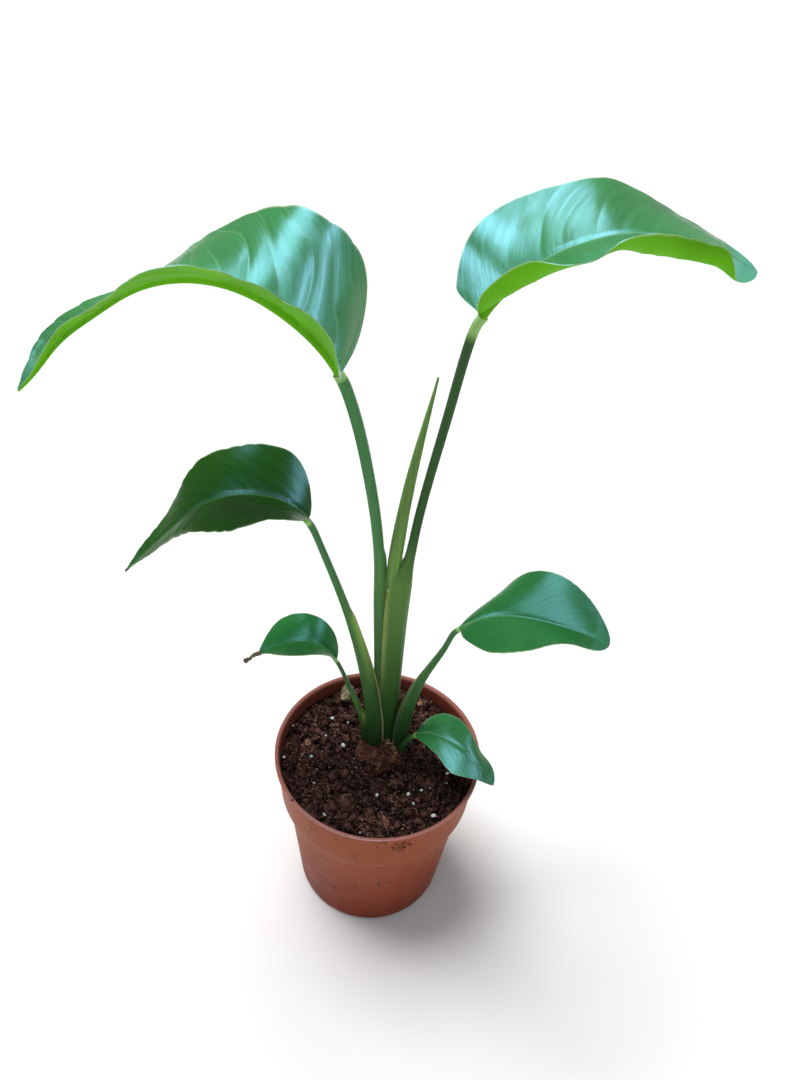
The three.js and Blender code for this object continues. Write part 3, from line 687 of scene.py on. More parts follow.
def stalk_material(name, settings, sheath_top, look):
    """Smooth living stalk: a tight green skin with fine long stripes, paler and yellower at the young sheath
    and darkened towards the soil as painted shade of the leaves over it. The sheath's free margin has dried
    to a straw-coloured line, and the sheath beside it is thin enough to let light through."""
    material, add = new_material(name)
    place = add("TexCoord").outputs["Object"]
    z = add("SeparateXYZ", [place]).outputs["Z"]
    climb = add("MapRange", [z, SOIL_Z * MM, (sheath_top + STALK_FADE) * MM, 0, 1])
    bare = mixed(mixed(settings.stalk, settings.grey, look["grey"]), settings.old, look["old"])
    young = mixed(bare, settings.sheath, look["sheath"])
    # The green darkens from the sheath down to the soil: painted shade under the leaves
    middle = mixed(young, settings.foot, 0.55)
    green = add("ValToRGB", [climb], stops=[(0, settings.foot), (0.48, middle), (0.8, young), (1, bare)])
    across, lengthways = scale_of(STALK_STRIPE), scale_of(STALK_STRIPE_LENGTH)
    long_grain = add("VectorMath", [place, (across, across, lengthways)], operation="MULTIPLY")
    stripes = add("TexNoise", {"Vector": long_grain, "Scale": 1, "Detail": 3, "Roughness": 0.6})
    streak = add("MapRange", [stripes, 0.35, 0.7, 0.92, 1.08])
    shaded = add("VectorMath", {0: green, 3: streak}, operation="SCALE")
    wrap = add("SeparateXYZ", [add("UVMap", uv_map="Wrap")])
    plain = wrap.outputs["Y"]
    from_edge = add("Math", [wrap, 0.5], operation="SUBTRACT")
    distance = add("Math", [from_edge], operation="ABSOLUTE")
    thin = add("MapRange", [distance, 0.2 * look["spread"], look["spread"], look["glow"], 0], **SMOOTH)
    line = add("MapRange", [distance, 0.006, 0.02, look["line"], 0], **SMOOTH)
    above = add("MapRange", [climb, look["from"], look["from"] + 0.35, 0, 1], **SMOOTH)
    glow = add("Math", [thin, above], operation="MULTIPLY")
    from_top = add("SeparateXYZ", [add("UVMap", uv_map="Top")])
    joint_end = look["joint"] / MAP_UNIT
    joint = add("MapRange", [from_top, 0.5 * joint_end, joint_end, 0.8, 0], **SMOOTH)
    colour = lay_over(add, shaded, (
        (glow, plain, mixed(settings.glow, settings.margin, look["tan"])),
        (line, plain, settings.margin),
        (joint, 1, settings.joint),
    ))
    rough = add("MapRange", [stripes, 0.3, 0.7, 0.34, 0.5])
    finish_material(add, {"IOR": 1.45, "Specular IOR Level": 0.25, "Base Color": colour, "Roughness": rough},
                    stripes, 0.15, 0.5)
    return material


def spear_material(settings):
    """Young leaf still rolled up: satin yellow-green skin, with the pale rolled edge winding round it."""
    material, add = new_material("rolled_leaf_skin")
    turn = add("SeparateXYZ", [add("UVMap", uv_map="Roll")])
    place = add("TexCoord").outputs["Object"]
    across, lengthways = scale_of(SPEAR_STRIPE), scale_of(SPEAR_STRIPE_LENGTH)
    long_grain = add("VectorMath", [place, (across, across, lengthways)], operation="MULTIPLY")
    stripes = add("TexNoise", {"Vector": long_grain, "Scale": 1, "Detail": 3})
    green = add("ValToRGB", [turn], stops=[(0, settings.edge), (0.1, settings.skin),
                                           (0.6, shade(settings.skin, 0.55)), (1, settings.skin)])
    streak = add("MapRange", [stripes, 0.35, 0.7, 0.8, 1.2])
    shaded = add("VectorMath", {0: green, 3: streak}, operation="SCALE")
    finish_material(add, {"IOR": 1.45, "Roughness": 0.42, "Specular IOR Level": 0.25, "Base Color": shaded},
                    stripes, 0.15, 0.5)
    return material


def pot_material(name, high, low, settings, roughness, shine):
    """Injection-moulded polypropylene, coloured in the mass: an even satin skin whose colour darkens towards
    the floor as painted shade, with peat specks mostly low on its front left."""
    material, add = new_material(name)
    place = add("TexCoord").outputs["Object"]
    z = add("SeparateXYZ", [place]).outputs["Z"]
    bloom = add("TexNoise", {"Vector": place, "Scale": scale_of(POT_CLOUD), "Detail": 4, "Roughness": 0.55})
    skin = add("TexNoise", {"Vector": place, "Scale": scale_of(POT_TOOTH), "Detail": 2})
    # Painted shade: the colour darkens from the wall's high colour to a darker one near the floor, in cloudy
    # patches
    rise = add("MapRange", [z, 10 * MM, 115 * MM, 0, 1], **SMOOTH)
    cloudy = add("Math", [bloom, 0.5, -0.25], operation="MULTIPLY_ADD")
    painted_shade_by_height = add("Math", [rise, cloudy], operation="ADD")
    painted_floor_shade = add("ValToRGB", [painted_shade_by_height], stops=[(0, low), (1, high)])
    specks = add("TexVoronoi", {"Vector": place, "Scale": scale_of(SPECK_SPACING), "Randomness": 1})
    dense = add("TexNoise", {"Vector": place, "Scale": scale_of(SPECK_PATCH), "Detail": 3})
    low_wall = add("MapRange", [z, 90 * MM, 30 * MM, 0, 0.07])
    towards = add("VectorMath", [place, SPECKED_SIDE], operation="DOT_PRODUCT").outputs["Value"]
    front_left = add("MapRange", [towards, 10 * MM, 60 * MM, 0, 0.09])
    more = add("Math", [low_wall, front_left], operation="ADD")
    patchy = add("Math", [dense, more], operation="ADD")
    size = add("MapRange", [patchy, 0.52, 0.8, 0, 0.42])
    inside = add("Math", [specks, size], operation="LESS_THAN")
    specked = lay_over(add, painted_floor_shade, [(inside, 1, settings.dirt)])
    gloss = add("MapRange", [bloom, 0.3, 0.7, roughness + 0.06, roughness - 0.04])
    relief = add("Math", [inside, 2.5, skin], operation="MULTIPLY_ADD")
    finish_material(add, {"IOR": 1.49, "Specular IOR Level": shine,
                          "Base Color": specked, "Roughness": gloss}, relief, 0.12, 0.3)
    return material


def mottled_material(name, dark, light, grain_size, roughness, relief, lift=0):
    """A crumbled natural stuff, such as peat, bark or perlite: matte, broken in tone from grain to grain,
    with pores and crumbs of its own grain size that swallow the light. Lift makes more of it light."""
    material, add = new_material(name)
    place = add("TexCoord").outputs["Object"]
    grains, patches = scale_of(grain_size), scale_of(grain_size * PATCH_GRAINS)
    tone = add("TexNoise", {"Vector": place, "Scale": patches, "Detail": 8, "Roughness": 0.7})
    crumbs = add("TexNoise", {"Vector": place, "Scale": grains, "Detail": 6, "Roughness": 0.75})
    both = add("Math", [crumbs, 0.35, tone], operation="MULTIPLY_ADD")
    colour = add("ValToRGB", [both], stops=[(0.6 - lift, dark), (0.71 - lift, mixed(dark, light, 0.2)),
                                            (0.84 - lift, light)])
    finish_material(add, {"Roughness": roughness, "Specular IOR Level": 0.02, "Base Color": colour},
                    crumbs, relief, 1)
    return material


# Pot
PLAIN_WALL, LIP, INNER_WALL = range(3)


def evenly(start, end, steps):
    """Points of an outline at even steps between two, without the two."""
    return [tuple(a + k / steps * (b - a) for a, b in zip(start, end)) for k in range(1, steps)]


def pot_profile(lip_round):
    """The pot's outline from the middle of its underside, round the lip and back to the middle of its floor,
    with the finish of the ring after each point. Rounded places have extra points."""
    lip_foot = POT_HEIGHT - LIP_HEIGHT
    collar_top = RIM_RADIUS - LIP_WIDTH
    body_slope = (BODY_TOP_RADIUS - BASE_RADIUS) / BODY_TOP_Z
    collar_slope = (collar_top - COLLAR_FOOT_RADIUS) / (lip_foot - COLLAR_FOOT_Z)
    outside = [(BASE_RADIUS - 6, 0), (BASE_RADIUS - 2.4, 0), (BASE_RADIUS - 1.2, 0.3),
               (BASE_RADIUS - 0.4, 1.1), (BASE_RADIUS, FOOT_ROUND)]
    outside += evenly(outside[-1], (BODY_TOP_RADIUS, BODY_TOP_Z), 14)
    for k in range(9):
        share = k / 8
        z = BODY_TOP_Z + share * (COLLAR_FOOT_Z - BODY_TOP_Z)
        body = BODY_TOP_RADIUS + (z - BODY_TOP_Z) * body_slope
        collar = COLLAR_FOOT_RADIUS + (z - COLLAR_FOOT_Z) * collar_slope
        outside.append((body + (collar - body) * smooth_step(share, 0, 1), z))
    under_lip = (collar_top, lip_foot - 0.4)
    outside += evenly((COLLAR_FOOT_RADIUS, COLLAR_FOOT_Z), under_lip, 6) + [under_lip]
    lip = [(RIM_RADIUS - 0.9, lip_foot), (RIM_RADIUS - 0.25, lip_foot + 0.2), (RIM_RADIUS, lip_foot + 0.7)]
    plain_points = len(lip)
    for k in range(6):
        out, up = polar(lip_round, math.pi / 2 * k / 5)
        lip.append((RIM_RADIUS - lip_round + out, POT_HEIGHT - lip_round + up))
    groove = RIM_RADIUS - 1.3
    lip += [(groove + 0.3, POT_HEIGHT), (groove, POT_HEIGHT - 0.4), (groove - 0.3, POT_HEIGHT - 0.1),
            (groove - 0.9, POT_HEIGHT - 0.15), (groove - 1.3, POT_HEIGHT - 0.7),
            (collar_top - WALL + 0.35, POT_HEIGHT - 2)]
    inside = [(r - WALL, z) for r, z in reversed(outside[4:])]
    inside[-1] = (BASE_RADIUS - WALL, FOOT_ROUND + FLOOR)
    floor = [(BASE_RADIUS - WALL - 2.4, FLOOR), (BASE_RADIUS - 12, FLOOR)]
    underside = [(6, 0.5), (7, 0.5), (7.6, 0), (30, 0), (30.5, 0.4), (32, 0.4), (32.5, 0)]
    finishes = ([PLAIN_WALL] * (len(underside + outside) + plain_points)
                + [LIP] * (len(lip) - plain_points - 1) + [INNER_WALL] * len(inside + floor))
    return underside + outside + lip + inside + floor, finishes


class PLANT_OT_pot(bpy.types.Operator):
    """Turn the nursery pot, with its lip, collar and drain holes"""

    bl_idname = "plant.pot"
    bl_label = "Pot"

    def execute(self, context):
        settings = context.scene.plant_pot
        profile, rings = pot_profile(settings.lip_round / MM)
        sides = settings.sides
        points = [(*polar(radius, 2 * math.pi * j / sides), z) for radius, z in profile for j in range(sides)]
        points += [(0, 0, 0.5), (0, 0, FLOOR)]
        faces = tube_faces(len(profile), sides)
        finishes = np.repeat(rings, sides).tolist() + [PLAIN_WALL, INNER_WALL] * sides
        # The outer wall darkens towards the floor as painted shade
        plastics = [pot_material(name, high, low, settings, roughness, shine)
                    for name, high, low, roughness, shine in (
                        ("terracotta_polypropylene", settings.plastic, settings.low, 0.46, 0.12),
                        # The lip, painted paler as a highlight
                        ("lip_painted_highlight", settings.lip, settings.lip, 0.33, 0.4),
                        # The inner wall, painted darker as shade
                        ("inner_polypropylene_painted_shade", settings.inner, settings.inner, 0.6, 0.1))]
        pot = add_piece("pot_shell", points, faces, plastics, finishes, crease=POT_CREASE)
        self.drill_drains(context, pot)
        settle(pot, "pot", "pot")
        return {"FINISHED"}

    def drill_drains(self, context, pot):
        """Cuts the drain holes out of the pot's floor."""
        drills = bmesh.new()
        for i in range(DRAIN_HOLES):
            x, y = polar(DRAIN_RING_RADIUS, (i + 0.5) / DRAIN_HOLES * 2 * math.pi)
            bmesh.ops.create_cone(
                drills, cap_ends=True, segments=40, radius1=DRAIN_RADIUS * MM, radius2=DRAIN_RADIUS * MM,
                depth=3 * FLOOR * MM, matrix=Matrix.Translation(Vector((x, y, FLOOR / 2)) * MM),
            )
        drill_mesh = bpy.data.meshes.new("drain_drills")
        drills.to_mesh(drill_mesh)
        drills.free()
        drill = bpy.data.objects.new("drain_drills", drill_mesh)
        context.scene.collection.objects.link(drill)
        cut = pot.modifiers.new("drain", "BOOLEAN")
        cut.operation, cut.object, cut.solver = "DIFFERENCE", drill, "EXACT"
        context.view_layer.update()
        shown = pot.evaluated_get(context.evaluated_depsgraph_get())
        drained = bpy.data.meshes.new_from_object(shown)
        pot.modifiers.clear()
        pot.data = drained
        drained.set_sharp_from_angle(angle=math.radians(POT_CREASE))
        bpy.data.objects.remove(drill)


# Soil
# How many clods and hollows there are, and how far from the pot's middle they lie at most
CLOD_COUNT, CLOD_REACH = 70, 66


def clods():
    """Place, height and width of the soil's low clods and hollows, the same ones as in its solid."""
    state = 7
    drawn = []
    for _ in range(CLOD_COUNT):
        four = []
        for _ in range(4):
            state = (state * 1664525 + 1013904223) % 2 ** 32
            four.append(state / 2 ** 32)
        x, y = polar(CLOD_REACH * math.sqrt(four[0]), 2 * math.pi * four[1])
        drawn.append((x, y, -1.4 + 3.6 * four[2], 5 + 5 * four[3]))
    return drawn + [(-19, -43, 3.4, 5.5), (-26, 56, 4, 7)]


CLODS = clods()
# The hollow under the front of the root crown: its place, half sizes and depth
HOLLOW_PLACE, HOLLOW_HALF, HOLLOW_DEPTH = (5, -14), (14, 4.5), 7
# How far apart and how high the soil's lumps and its finer crumbs are, and how much its middle rises
LUMP_WIDTH, LUMP_RELIEF = 9, 3.4
CRUMB_WIDTH, CRUMB_RELIEF = 2.4, 1.6
RISE_RADIUS, RISE = 58, 0.8


def soil_height(x, y):
    """The soil's surface: its clods, crumbly lumps a few millimetres across, finer crumbs, and the hollow
    under the front of the root crown."""
    z = sum(h * math.exp(-((x - cx) ** 2 + (y - cy) ** 2) / w ** 2) for cx, cy, h, w in CLODS)
    z = min(max(z, -3), 5)
    lumps = noise.fractal(Vector((x / LUMP_WIDTH, y / LUMP_WIDTH, 3)), 0.9, 2, 3)
    crumbs = noise.fractal(Vector((x / CRUMB_WIDTH, y / CRUMB_WIDTH, 9)), 0.7, 2, 4)
    rise = max(-math.hypot(x, y) + RISE_RADIUS, 0) / RISE_RADIUS
    hollow = HOLLOW_DEPTH * math.exp(-((x - HOLLOW_PLACE[0]) / HOLLOW_HALF[0]) ** 2
                                     - ((y - HOLLOW_PLACE[1]) / HOLLOW_HALF[1]) ** 2)
    return SOIL_Z + z + LUMP_RELIEF * lumps + CRUMB_RELIEF * crumbs + RISE * rise - hollow


def on_surface(x, y, lift):
    """A place at a height over the soil's surface."""
    return x, y, soil_height(x, y) + lift


def wall_radius(z):
    """The pot's inner radius at a height in its collar."""
    share = (z - COLLAR_FOOT_Z) / (POT_HEIGHT - LIP_HEIGHT - COLLAR_FOOT_Z)
    return COLLAR_FOOT_RADIUS + share * (RIM_RADIUS - LIP_WIDTH - COLLAR_FOOT_RADIUS) - WALL


def on_wall(pixel):
    """Where the ray through a pixel of the photograph meets the outside of the pot's collar."""
    z = POT_HEIGHT
    spot = on_soil(pixel, z)
    while math.hypot(spot.x, spot.y) > wall_radius(z) + WALL:
        z -= 0.2
        spot = on_soil(pixel, z)
    return spot


def scatter(draw, crown_gap, across=2):
    """A random place on the soil for a grain of a size, clear of the wall and off the root crown by a gap."""
    while True:
        reach = (wall_radius(SOIL_Z) - 0.8 * across - 0.7) * math.sqrt(draw.random())
        x, y = polar(reach, draw.uniform(0, 2 * math.pi))
        if math.hypot(x - CROWN_CENTRE[0], y - CROWN_CENTRE[1]) > CROWN_HALF[0] + crown_gap:
            return x, y


class PLANT_OT_soil(bpy.types.Operator):
    """Fill the pot with peat, crumbled on top"""

    bl_idname = "plant.soil"
    bl_label = "Soil"

    def execute(self, context):
        settings = context.scene.plant_soil
        peat = mottled_material("moist_peat", settings.peat, settings.crumb, 0.8, 0.95, 0.8)
        rings, sides = 110, 280
        around = [2 * math.pi * j / sides for j in range(sides)]
        top = wall_radius(SOIL_Z) - SOIL_GAP
        side_rings = [(BASE_RADIUS - WALL - 2.7, SOIL_FOOT_Z), (BASE_RADIUS - WALL - 0.4, 5),
                      (BODY_TOP_RADIUS - WALL - SOIL_GAP, BODY_TOP_Z),
                      (COLLAR_FOOT_RADIUS - WALL - SOIL_GAP, COLLAR_FOOT_Z + 2)]
        points = [(*polar(radius, turn), z) for radius, z in side_rings for turn in around]
        for i in range(rings):
            points += [on_surface(*polar(top * (1 - i / rings), turn), 0) for turn in around]
        points += [(0, 0, SOIL_FOOT_Z), on_surface(0, 0, 0)]
        faces = tube_faces(len(side_rings) + rings, sides)
        settle(add_piece("peat", points, faces, [peat], crease=80), "soil", "soil")
        return {"FINISHED"}


# What lies on the soil: each function strews one kind on a heap
def peat_crumbs(heap, draw, settings):
    for _ in range(settings.crumbs):
        across = settings.grain / MM * draw.uniform(0.35, 1.1) * (1 if draw.random() < 0.9 else 2.6)
        x, y = scatter(draw, -3, across)
        grain(heap, on_surface(x, y, across * 0.15), across, draw)


def dry_crumbs(heap, draw, settings):
    """Dry crumbs everywhere but in a painted shadow under a leaf, kept dark by leaving them out there, and
    more of them in a few dry spots.
    """
    dry_spots = [on_soil(pixel) for pixel in DRY_PIXELS]
    leaf_shadow = on_soil(LEAF_SHADOW_PIXEL)
    for _ in range(settings.dry_crumbs):
        x, y = scatter(draw, -2)
        # No dry crumbs in the painted shadow under the low leaf
        if math.hypot(x - leaf_shadow.x, y - leaf_shadow.y) < LEAF_SHADOW_REACH * draw.uniform(0.7, 1.1):
            continue
        if draw.random() < 0.3:
            spot = draw.choice(dry_spots)
            x, y = spot.x + draw.gauss(0, 4.5), spot.y + draw.gauss(0, 4.5)
        across = settings.grain / MM * draw.uniform(0.25, 0.8)
        grain(heap, on_surface(x, y, across * 0.25), across, draw)


def peat_clods(heap, draw, settings):
    """The round clod at the front left, and smaller rough ones."""
    spot = on_soil(ROUND_CLOD_PIXEL)
    lump(heap, on_surface(spot.x, spot.y, 2.4), (6.6, 5.4, 4.4), 0.4, 0.1, 3)
    for k in range(settings.clods):
        half = draw.uniform(2, 4.6)
        x, y = scatter(draw, 2, 2 * half)
        radii = (half, half * draw.uniform(0.6, 0.9), half * draw.uniform(0.5, 0.8))
        lump(heap, on_surface(x, y, 0.3 * half), radii, draw.uniform(0, 3), 0.5, k, 16)


def mossy_lump(heap, draw, settings):
    """A lump under a coat of dry moss tufts."""
    spot = on_soil(MOSS_PIXEL)
    level = soil_height(spot.x, spot.y)
    lump(heap, (spot.x, spot.y, level + 1.5), (4.6, 8, 4.6), -0.2, 0.25, 9)
    for _ in range(260):
        turn, fall = draw.uniform(0, 2 * math.pi), draw.random() ** 0.5
        x, y = 4.8 * fall * math.cos(turn), 8.4 * fall * math.sin(turn)
        z = level + 1.4 + 4.8 * math.sqrt(max(1 - fall ** 2, 0))
        grain(heap, (spot.x + x, spot.y + y, z), draw.uniform(0.7, 1.9), draw)


def strew_fibres(heap, draw, count, thickness):
    """Curved fibres that lie on the soil, kept inside the pot."""
    limit = wall_radius(SOIL_Z) - 1.2
    for _ in range(count):
        x, y = scatter(draw, -1)
        length, bend, arch = draw.uniform(2, 9), draw.uniform(-2, 2), draw.uniform(0, 1.4)
        heading = draw.uniform(0, 2 * math.pi)
        path = []
        for k in range(FIBRE_STEPS + 1):
            share = k / FIBRE_STEPS
            angle = heading + bend * share
            x += length / FIBRE_STEPS * math.cos(angle)
            y += length / FIBRE_STEPS * math.sin(angle)
            reach = max(math.hypot(x, y), limit)
            x, y = x * limit / reach, y * limit / reach
            path.append(on_surface(x, y, 0.15 + arch * math.sin(math.pi * share)))
        thread(heap, path, thickness * draw.uniform(0.5, 1.1))


def peat_fibres(heap, draw, settings):
    strew_fibres(heap, draw, settings.fibres, 0.21)


def straw_fibres(heap, draw, settings):
    strew_fibres(heap, draw, settings.fibres // 6, 0.26)


def perlite_grains(heap, draw, settings):
    """The larger grains that the photograph shows, and small ones everywhere."""
    for pixel in PERLITE_PIXELS:
        spot = on_soil(pixel)
        across = draw.uniform(1.7, 3.6)
        grain(heap, on_surface(spot.x, spot.y, across * 0.5 + 0.8), across, draw, 0.8)
    for _ in range(90):
        x, y = scatter(draw, -3)
        across = draw.uniform(0.4, 1)
        grain(heap, on_surface(x, y, across * 0.5), across, draw, 0.8)


def peat_on_collar(heap, draw, settings):
    """A smear of peat bits and threads on the outside of the collar."""
    smear = on_wall(SMEAR_PIXEL)
    turn = math.atan2(smear.y, smear.x)
    for k in range(90):
        z = smear.z + draw.gauss(0, 3.6)
        x, y = polar(wall_radius(z) + WALL + 0.05, turn + draw.gauss(0, 0.055))
        if k % 6 > 0:
            grain(heap, (x, y, z), draw.uniform(0.3, 1.3) ** 2, draw)
            continue
        slant, length = draw.uniform(-1, 1), draw.uniform(1, 3)
        path = []
        for j in range(5):
            level = z + slant * length * j / 4
            out = Vector((x + length * j / 4, y)).normalized() * (wall_radius(level) + WALL + 0.1)
            path.append(Vector((*out, level)))
        thread(heap, path, 0.07, 0)


def bark_chips(heap, draw, settings):
    for k, (pixel, radii, lift) in enumerate(BARK_CHIPS):
        spot = on_soil(pixel)
        lump(heap, on_surface(spot.x, spot.y, lift), radii, 0.5 + 1.3 * k, 0.6, 20 + k, 18)


class PLANT_OT_litter(bpy.types.Operator):
    """Strew crumbs, clods, fibres, perlite, bark and moss on the soil, and smear peat on the collar"""

    bl_idname = "plant.litter"
    bl_label = "Crumbs, fibres and grains"

    def execute(self, context):
        settings = context.scene.plant_soil
        peat, crumb, fibre, straw = settings.peat, settings.crumb, settings.fibre, settings.straw
        moss, perlite, bark = settings.moss, settings.perlite, settings.bark
        draw = random.Random(11)
        # What strews each piece and names it, its material's name, dark and light colours, grain size,
        # roughness, relief and lift, and the angle of its sharp edges
        for strew, *looks, crease in (
            (peat_crumbs, "moist_peat_crumbs", peat, crumb, 0.6, 0.95, 0.3, 0.04, 25),
            (dry_crumbs, "dry_peat_crumbs", crumb, settings.dry, 0.7, 0.95, 0.3, 0.05, 25),
            (peat_clods, "peat_clod", peat, crumb, 0.5, 0.95, 0.4, 0.08, 60),
            (mossy_lump, "dry_moss", shade(moss, 0.3), moss, 0.7, 0.95, 0.3, 0.06, 30),
            (peat_fibres, "peat_fibres", shade(fibre, 0.5), fibre, 1.5, 0.85, 0.1, 0, 60),
            (straw_fibres, "straw_fibres", shade(straw, 0.5), straw, 1.5, 0.85, 0.1, 0, 60),
            (perlite_grains, "perlite", shade(perlite, 0.7), perlite, 0.5, 0.85, 0.2, 0.15, 30),
            (peat_on_collar, "smeared_peat", peat, fibre, 0.5, 0.95, 0.2, 0.08, 25),
            (bark_chips, "composted_bark", shade(bark, 0.35), bark, 0.9, 0.9, 0.5, 0.08, 30),
        ):
            heap = [], []
            strew(heap, draw, settings)
            piece = add_piece(strew.__name__, *heap, [mottled_material(*looks)], crease=crease)
            settle(piece, "soil")
        return {"FINISHED"}


# Root crown, as the share of its height and of its half width at even steps of its outline
CROWN_OUTLINE = [(0, 0.55), (0.25, 0.85), (0.6, 1), (0.8, 1),
                 (0.92, 0.9), (1, 0.7), (1.03, 0.45), (1.04, 0.2)]
# Its front stands up in a bump: the place, half sizes and height
BUMP_PLACE, BUMP_HALF, BUMP_HEIGHT = (5, -3), (12, 8), 4


def crown_point(turn, rise, relief):
    """A point on the root crown's skin, with its relief of ridges and pits."""
    last = len(CROWN_OUTLINE) - 1
    i = min(int(rise * last), last - 1)
    f = rise * last - i
    height, reach = (a + (b - a) * f for a, b in zip(CROWN_OUTLINE[i], CROWN_OUTLINE[i + 1]))
    ridge = 1 + 0.05 * math.sin(7 * turn + 1) + 0.03 * math.sin(11 * turn + 4 * height)
    x = CROWN_CENTRE[0] + CROWN_HALF[0] * reach * ridge * math.cos(turn)
    y = CROWN_CENTRE[1] + CROWN_HALF[1] * reach * ridge * math.sin(turn)
    z = CROWN_FOOT_Z + (CROWN_TOP_Z - CROWN_FOOT_Z) * height
    bump = math.exp(-((x - BUMP_PLACE[0]) / BUMP_HALF[0]) ** 2 - ((y - BUMP_PLACE[1]) / BUMP_HALF[1]) ** 2)
    front = BUMP_HEIGHT * bump * smooth_step(height, 0.8, 0.95)
    lumps = noise.fractal(Vector((x / 5, y / 5, z / 5)), 0.9, 2, 4)
    torn = abs(noise.noise(Vector((x / 1.6, y / 1.6, z / 3))))
    out = Vector((math.cos(turn) * reach, math.sin(turn) * reach, height)).normalized()
    return Vector((x, y, z + front)) + out * relief * (0.9 * lumps + 0.6 * torn - 0.35)


class PLANT_OT_root_crown(bpy.types.Operator):
    """Model the fibrous crown that the stalks grow from, with its torn threads"""

    bl_idname = "plant.root_crown"
    bl_label = "Root crown"

    def execute(self, context):
        settings = context.scene.plant_root
        relief = settings.relief / MM
        loops, sides = 80, 170
        points = [crown_point(2 * math.pi * j / sides, i / (loops - 1), relief)
                  for i in range(loops) for j in range(sides)]
        middle = sum((points[-k] for k in range(1, sides + 1)), Vector()) / sides
        points += [Vector((*CROWN_CENTRE, CROWN_FOOT_Z)), middle]
        skin = mottled_material("old_root_skin", settings.skin, settings.light, 0.7, 0.95, 0.9, 0.07)
        piece = add_piece("root_lump", points, tube_faces(loops, sides), [skin], crease=75)
        settle(piece, "root", "root_crown")

        draw = random.Random(23)
        for name, colour, count, thickness in (
            ("root_threads", settings.thread, settings.threads, 0.15),
            ("straw_threads", settings.straw, settings.threads // 6, 0.26),
        ):
            heap = [], []
            for _ in range(count):
                self.add_thread(heap, draw, relief, thickness)
            fibre = mottled_material(name, shade(colour, 0.35), colour, 1.2, 0.85, 0.1, 0.05)
            settle(add_piece(name, *heap, [fibre], crease=60), "root")

        heap = [], []
        for pixel in TORN_PIXELS:
            spot = on_soil(pixel, CROWN_TOP_Z + 2)
            for _ in range(9):
                place = spot + Vector((draw.gauss(0, 1.6), draw.gauss(0, 1.6), draw.uniform(-0.5, 2)))
                grain(heap, place, draw.uniform(0.8, 2.6), draw)
        torn = mottled_material("torn_root_end", shade(settings.straw, 0.4), settings.straw,
                                0.7, 0.9, 0.2, 0.08)
        settle(add_piece("torn_root_ends", *heap, [torn], crease=25), "root")
        return {"FINISHED"}

    def add_thread(self, heap, draw, relief, thickness):
        """A torn thread that lies slanting on the crown's upper half, lifted a little in its middle."""
        turn, rise = draw.uniform(0, 2 * math.pi), draw.uniform(0.5, 0.97)
        drift, fall = draw.uniform(-0.45, 0.45), draw.uniform(-0.2, 0.08)
        lift = draw.uniform(0, 1.3)
        path = []
        for k in range(FIBRE_STEPS + 1):
            share = k / FIBRE_STEPS
            spot = crown_point(turn + drift * share, min(max(rise + fall * share, 0.5), 1), relief)
            spot.z += 0.1 + lift * math.sin(math.pi * share)
            path.append(spot)
        thread(heap, path, thickness * draw.uniform(0.5, 1.1))


# Stalks and the rolled leaf
def section_axes(points, t):
    """Centre of a rod's section, and its sideways and depth axes."""
    centre = curve_point(points, t)
    ahead = (curve_point(points, t + 0.002) - curve_point(points, t - 0.002)).normalized()
    deep = (Vector((0, 1, 0)) - ahead * ahead.y).normalized()
    return centre, deep.cross(ahead), deep


def section_point(axes, reach, turn):
    """A point on a rod's skin, at a reach and a turn in radians round a section's centre."""
    centre, wide, deep = axes
    return centre + wide * reach * math.cos(turn) + deep * reach * STALK_FLATNESS * math.sin(turn)


def half_turn(degrees):
    """The same turn, from -180 to 180 degrees."""
    return (degrees + 180) % 360 - 180


def stalk_path(leaf):
    """The points that a stalk passes through, to its end under the blade."""
    start = direction(leaf["heading"][0], leaf["climb"][0])
    down = direction(leaf["heading"][0], leaf["climb"][0] - 90)
    top = Vector(leaf["base"]) + down * leaf["widths"][-1] * SEAT_SHARE
    return [Vector(p) for p in leaf["stalk"]] + [top - start * NECK, top]


def margin_turn(margin, z):
    """Where a sheath's margin stands at a height, in degrees, and how plain it is there."""
    if not margin:
        return 0, 0
    top = margin[-1][0]
    plain = 1 - smooth_step(z, top - 2, top + 6)
    for (z0, turn0), (z1, turn1) in zip(margin, margin[1:]):
        if z <= z1:
            return turn0 + (turn1 - turn0) * max(z - z0, 0) / (z1 - z0), plain
    return margin[-1][1], plain


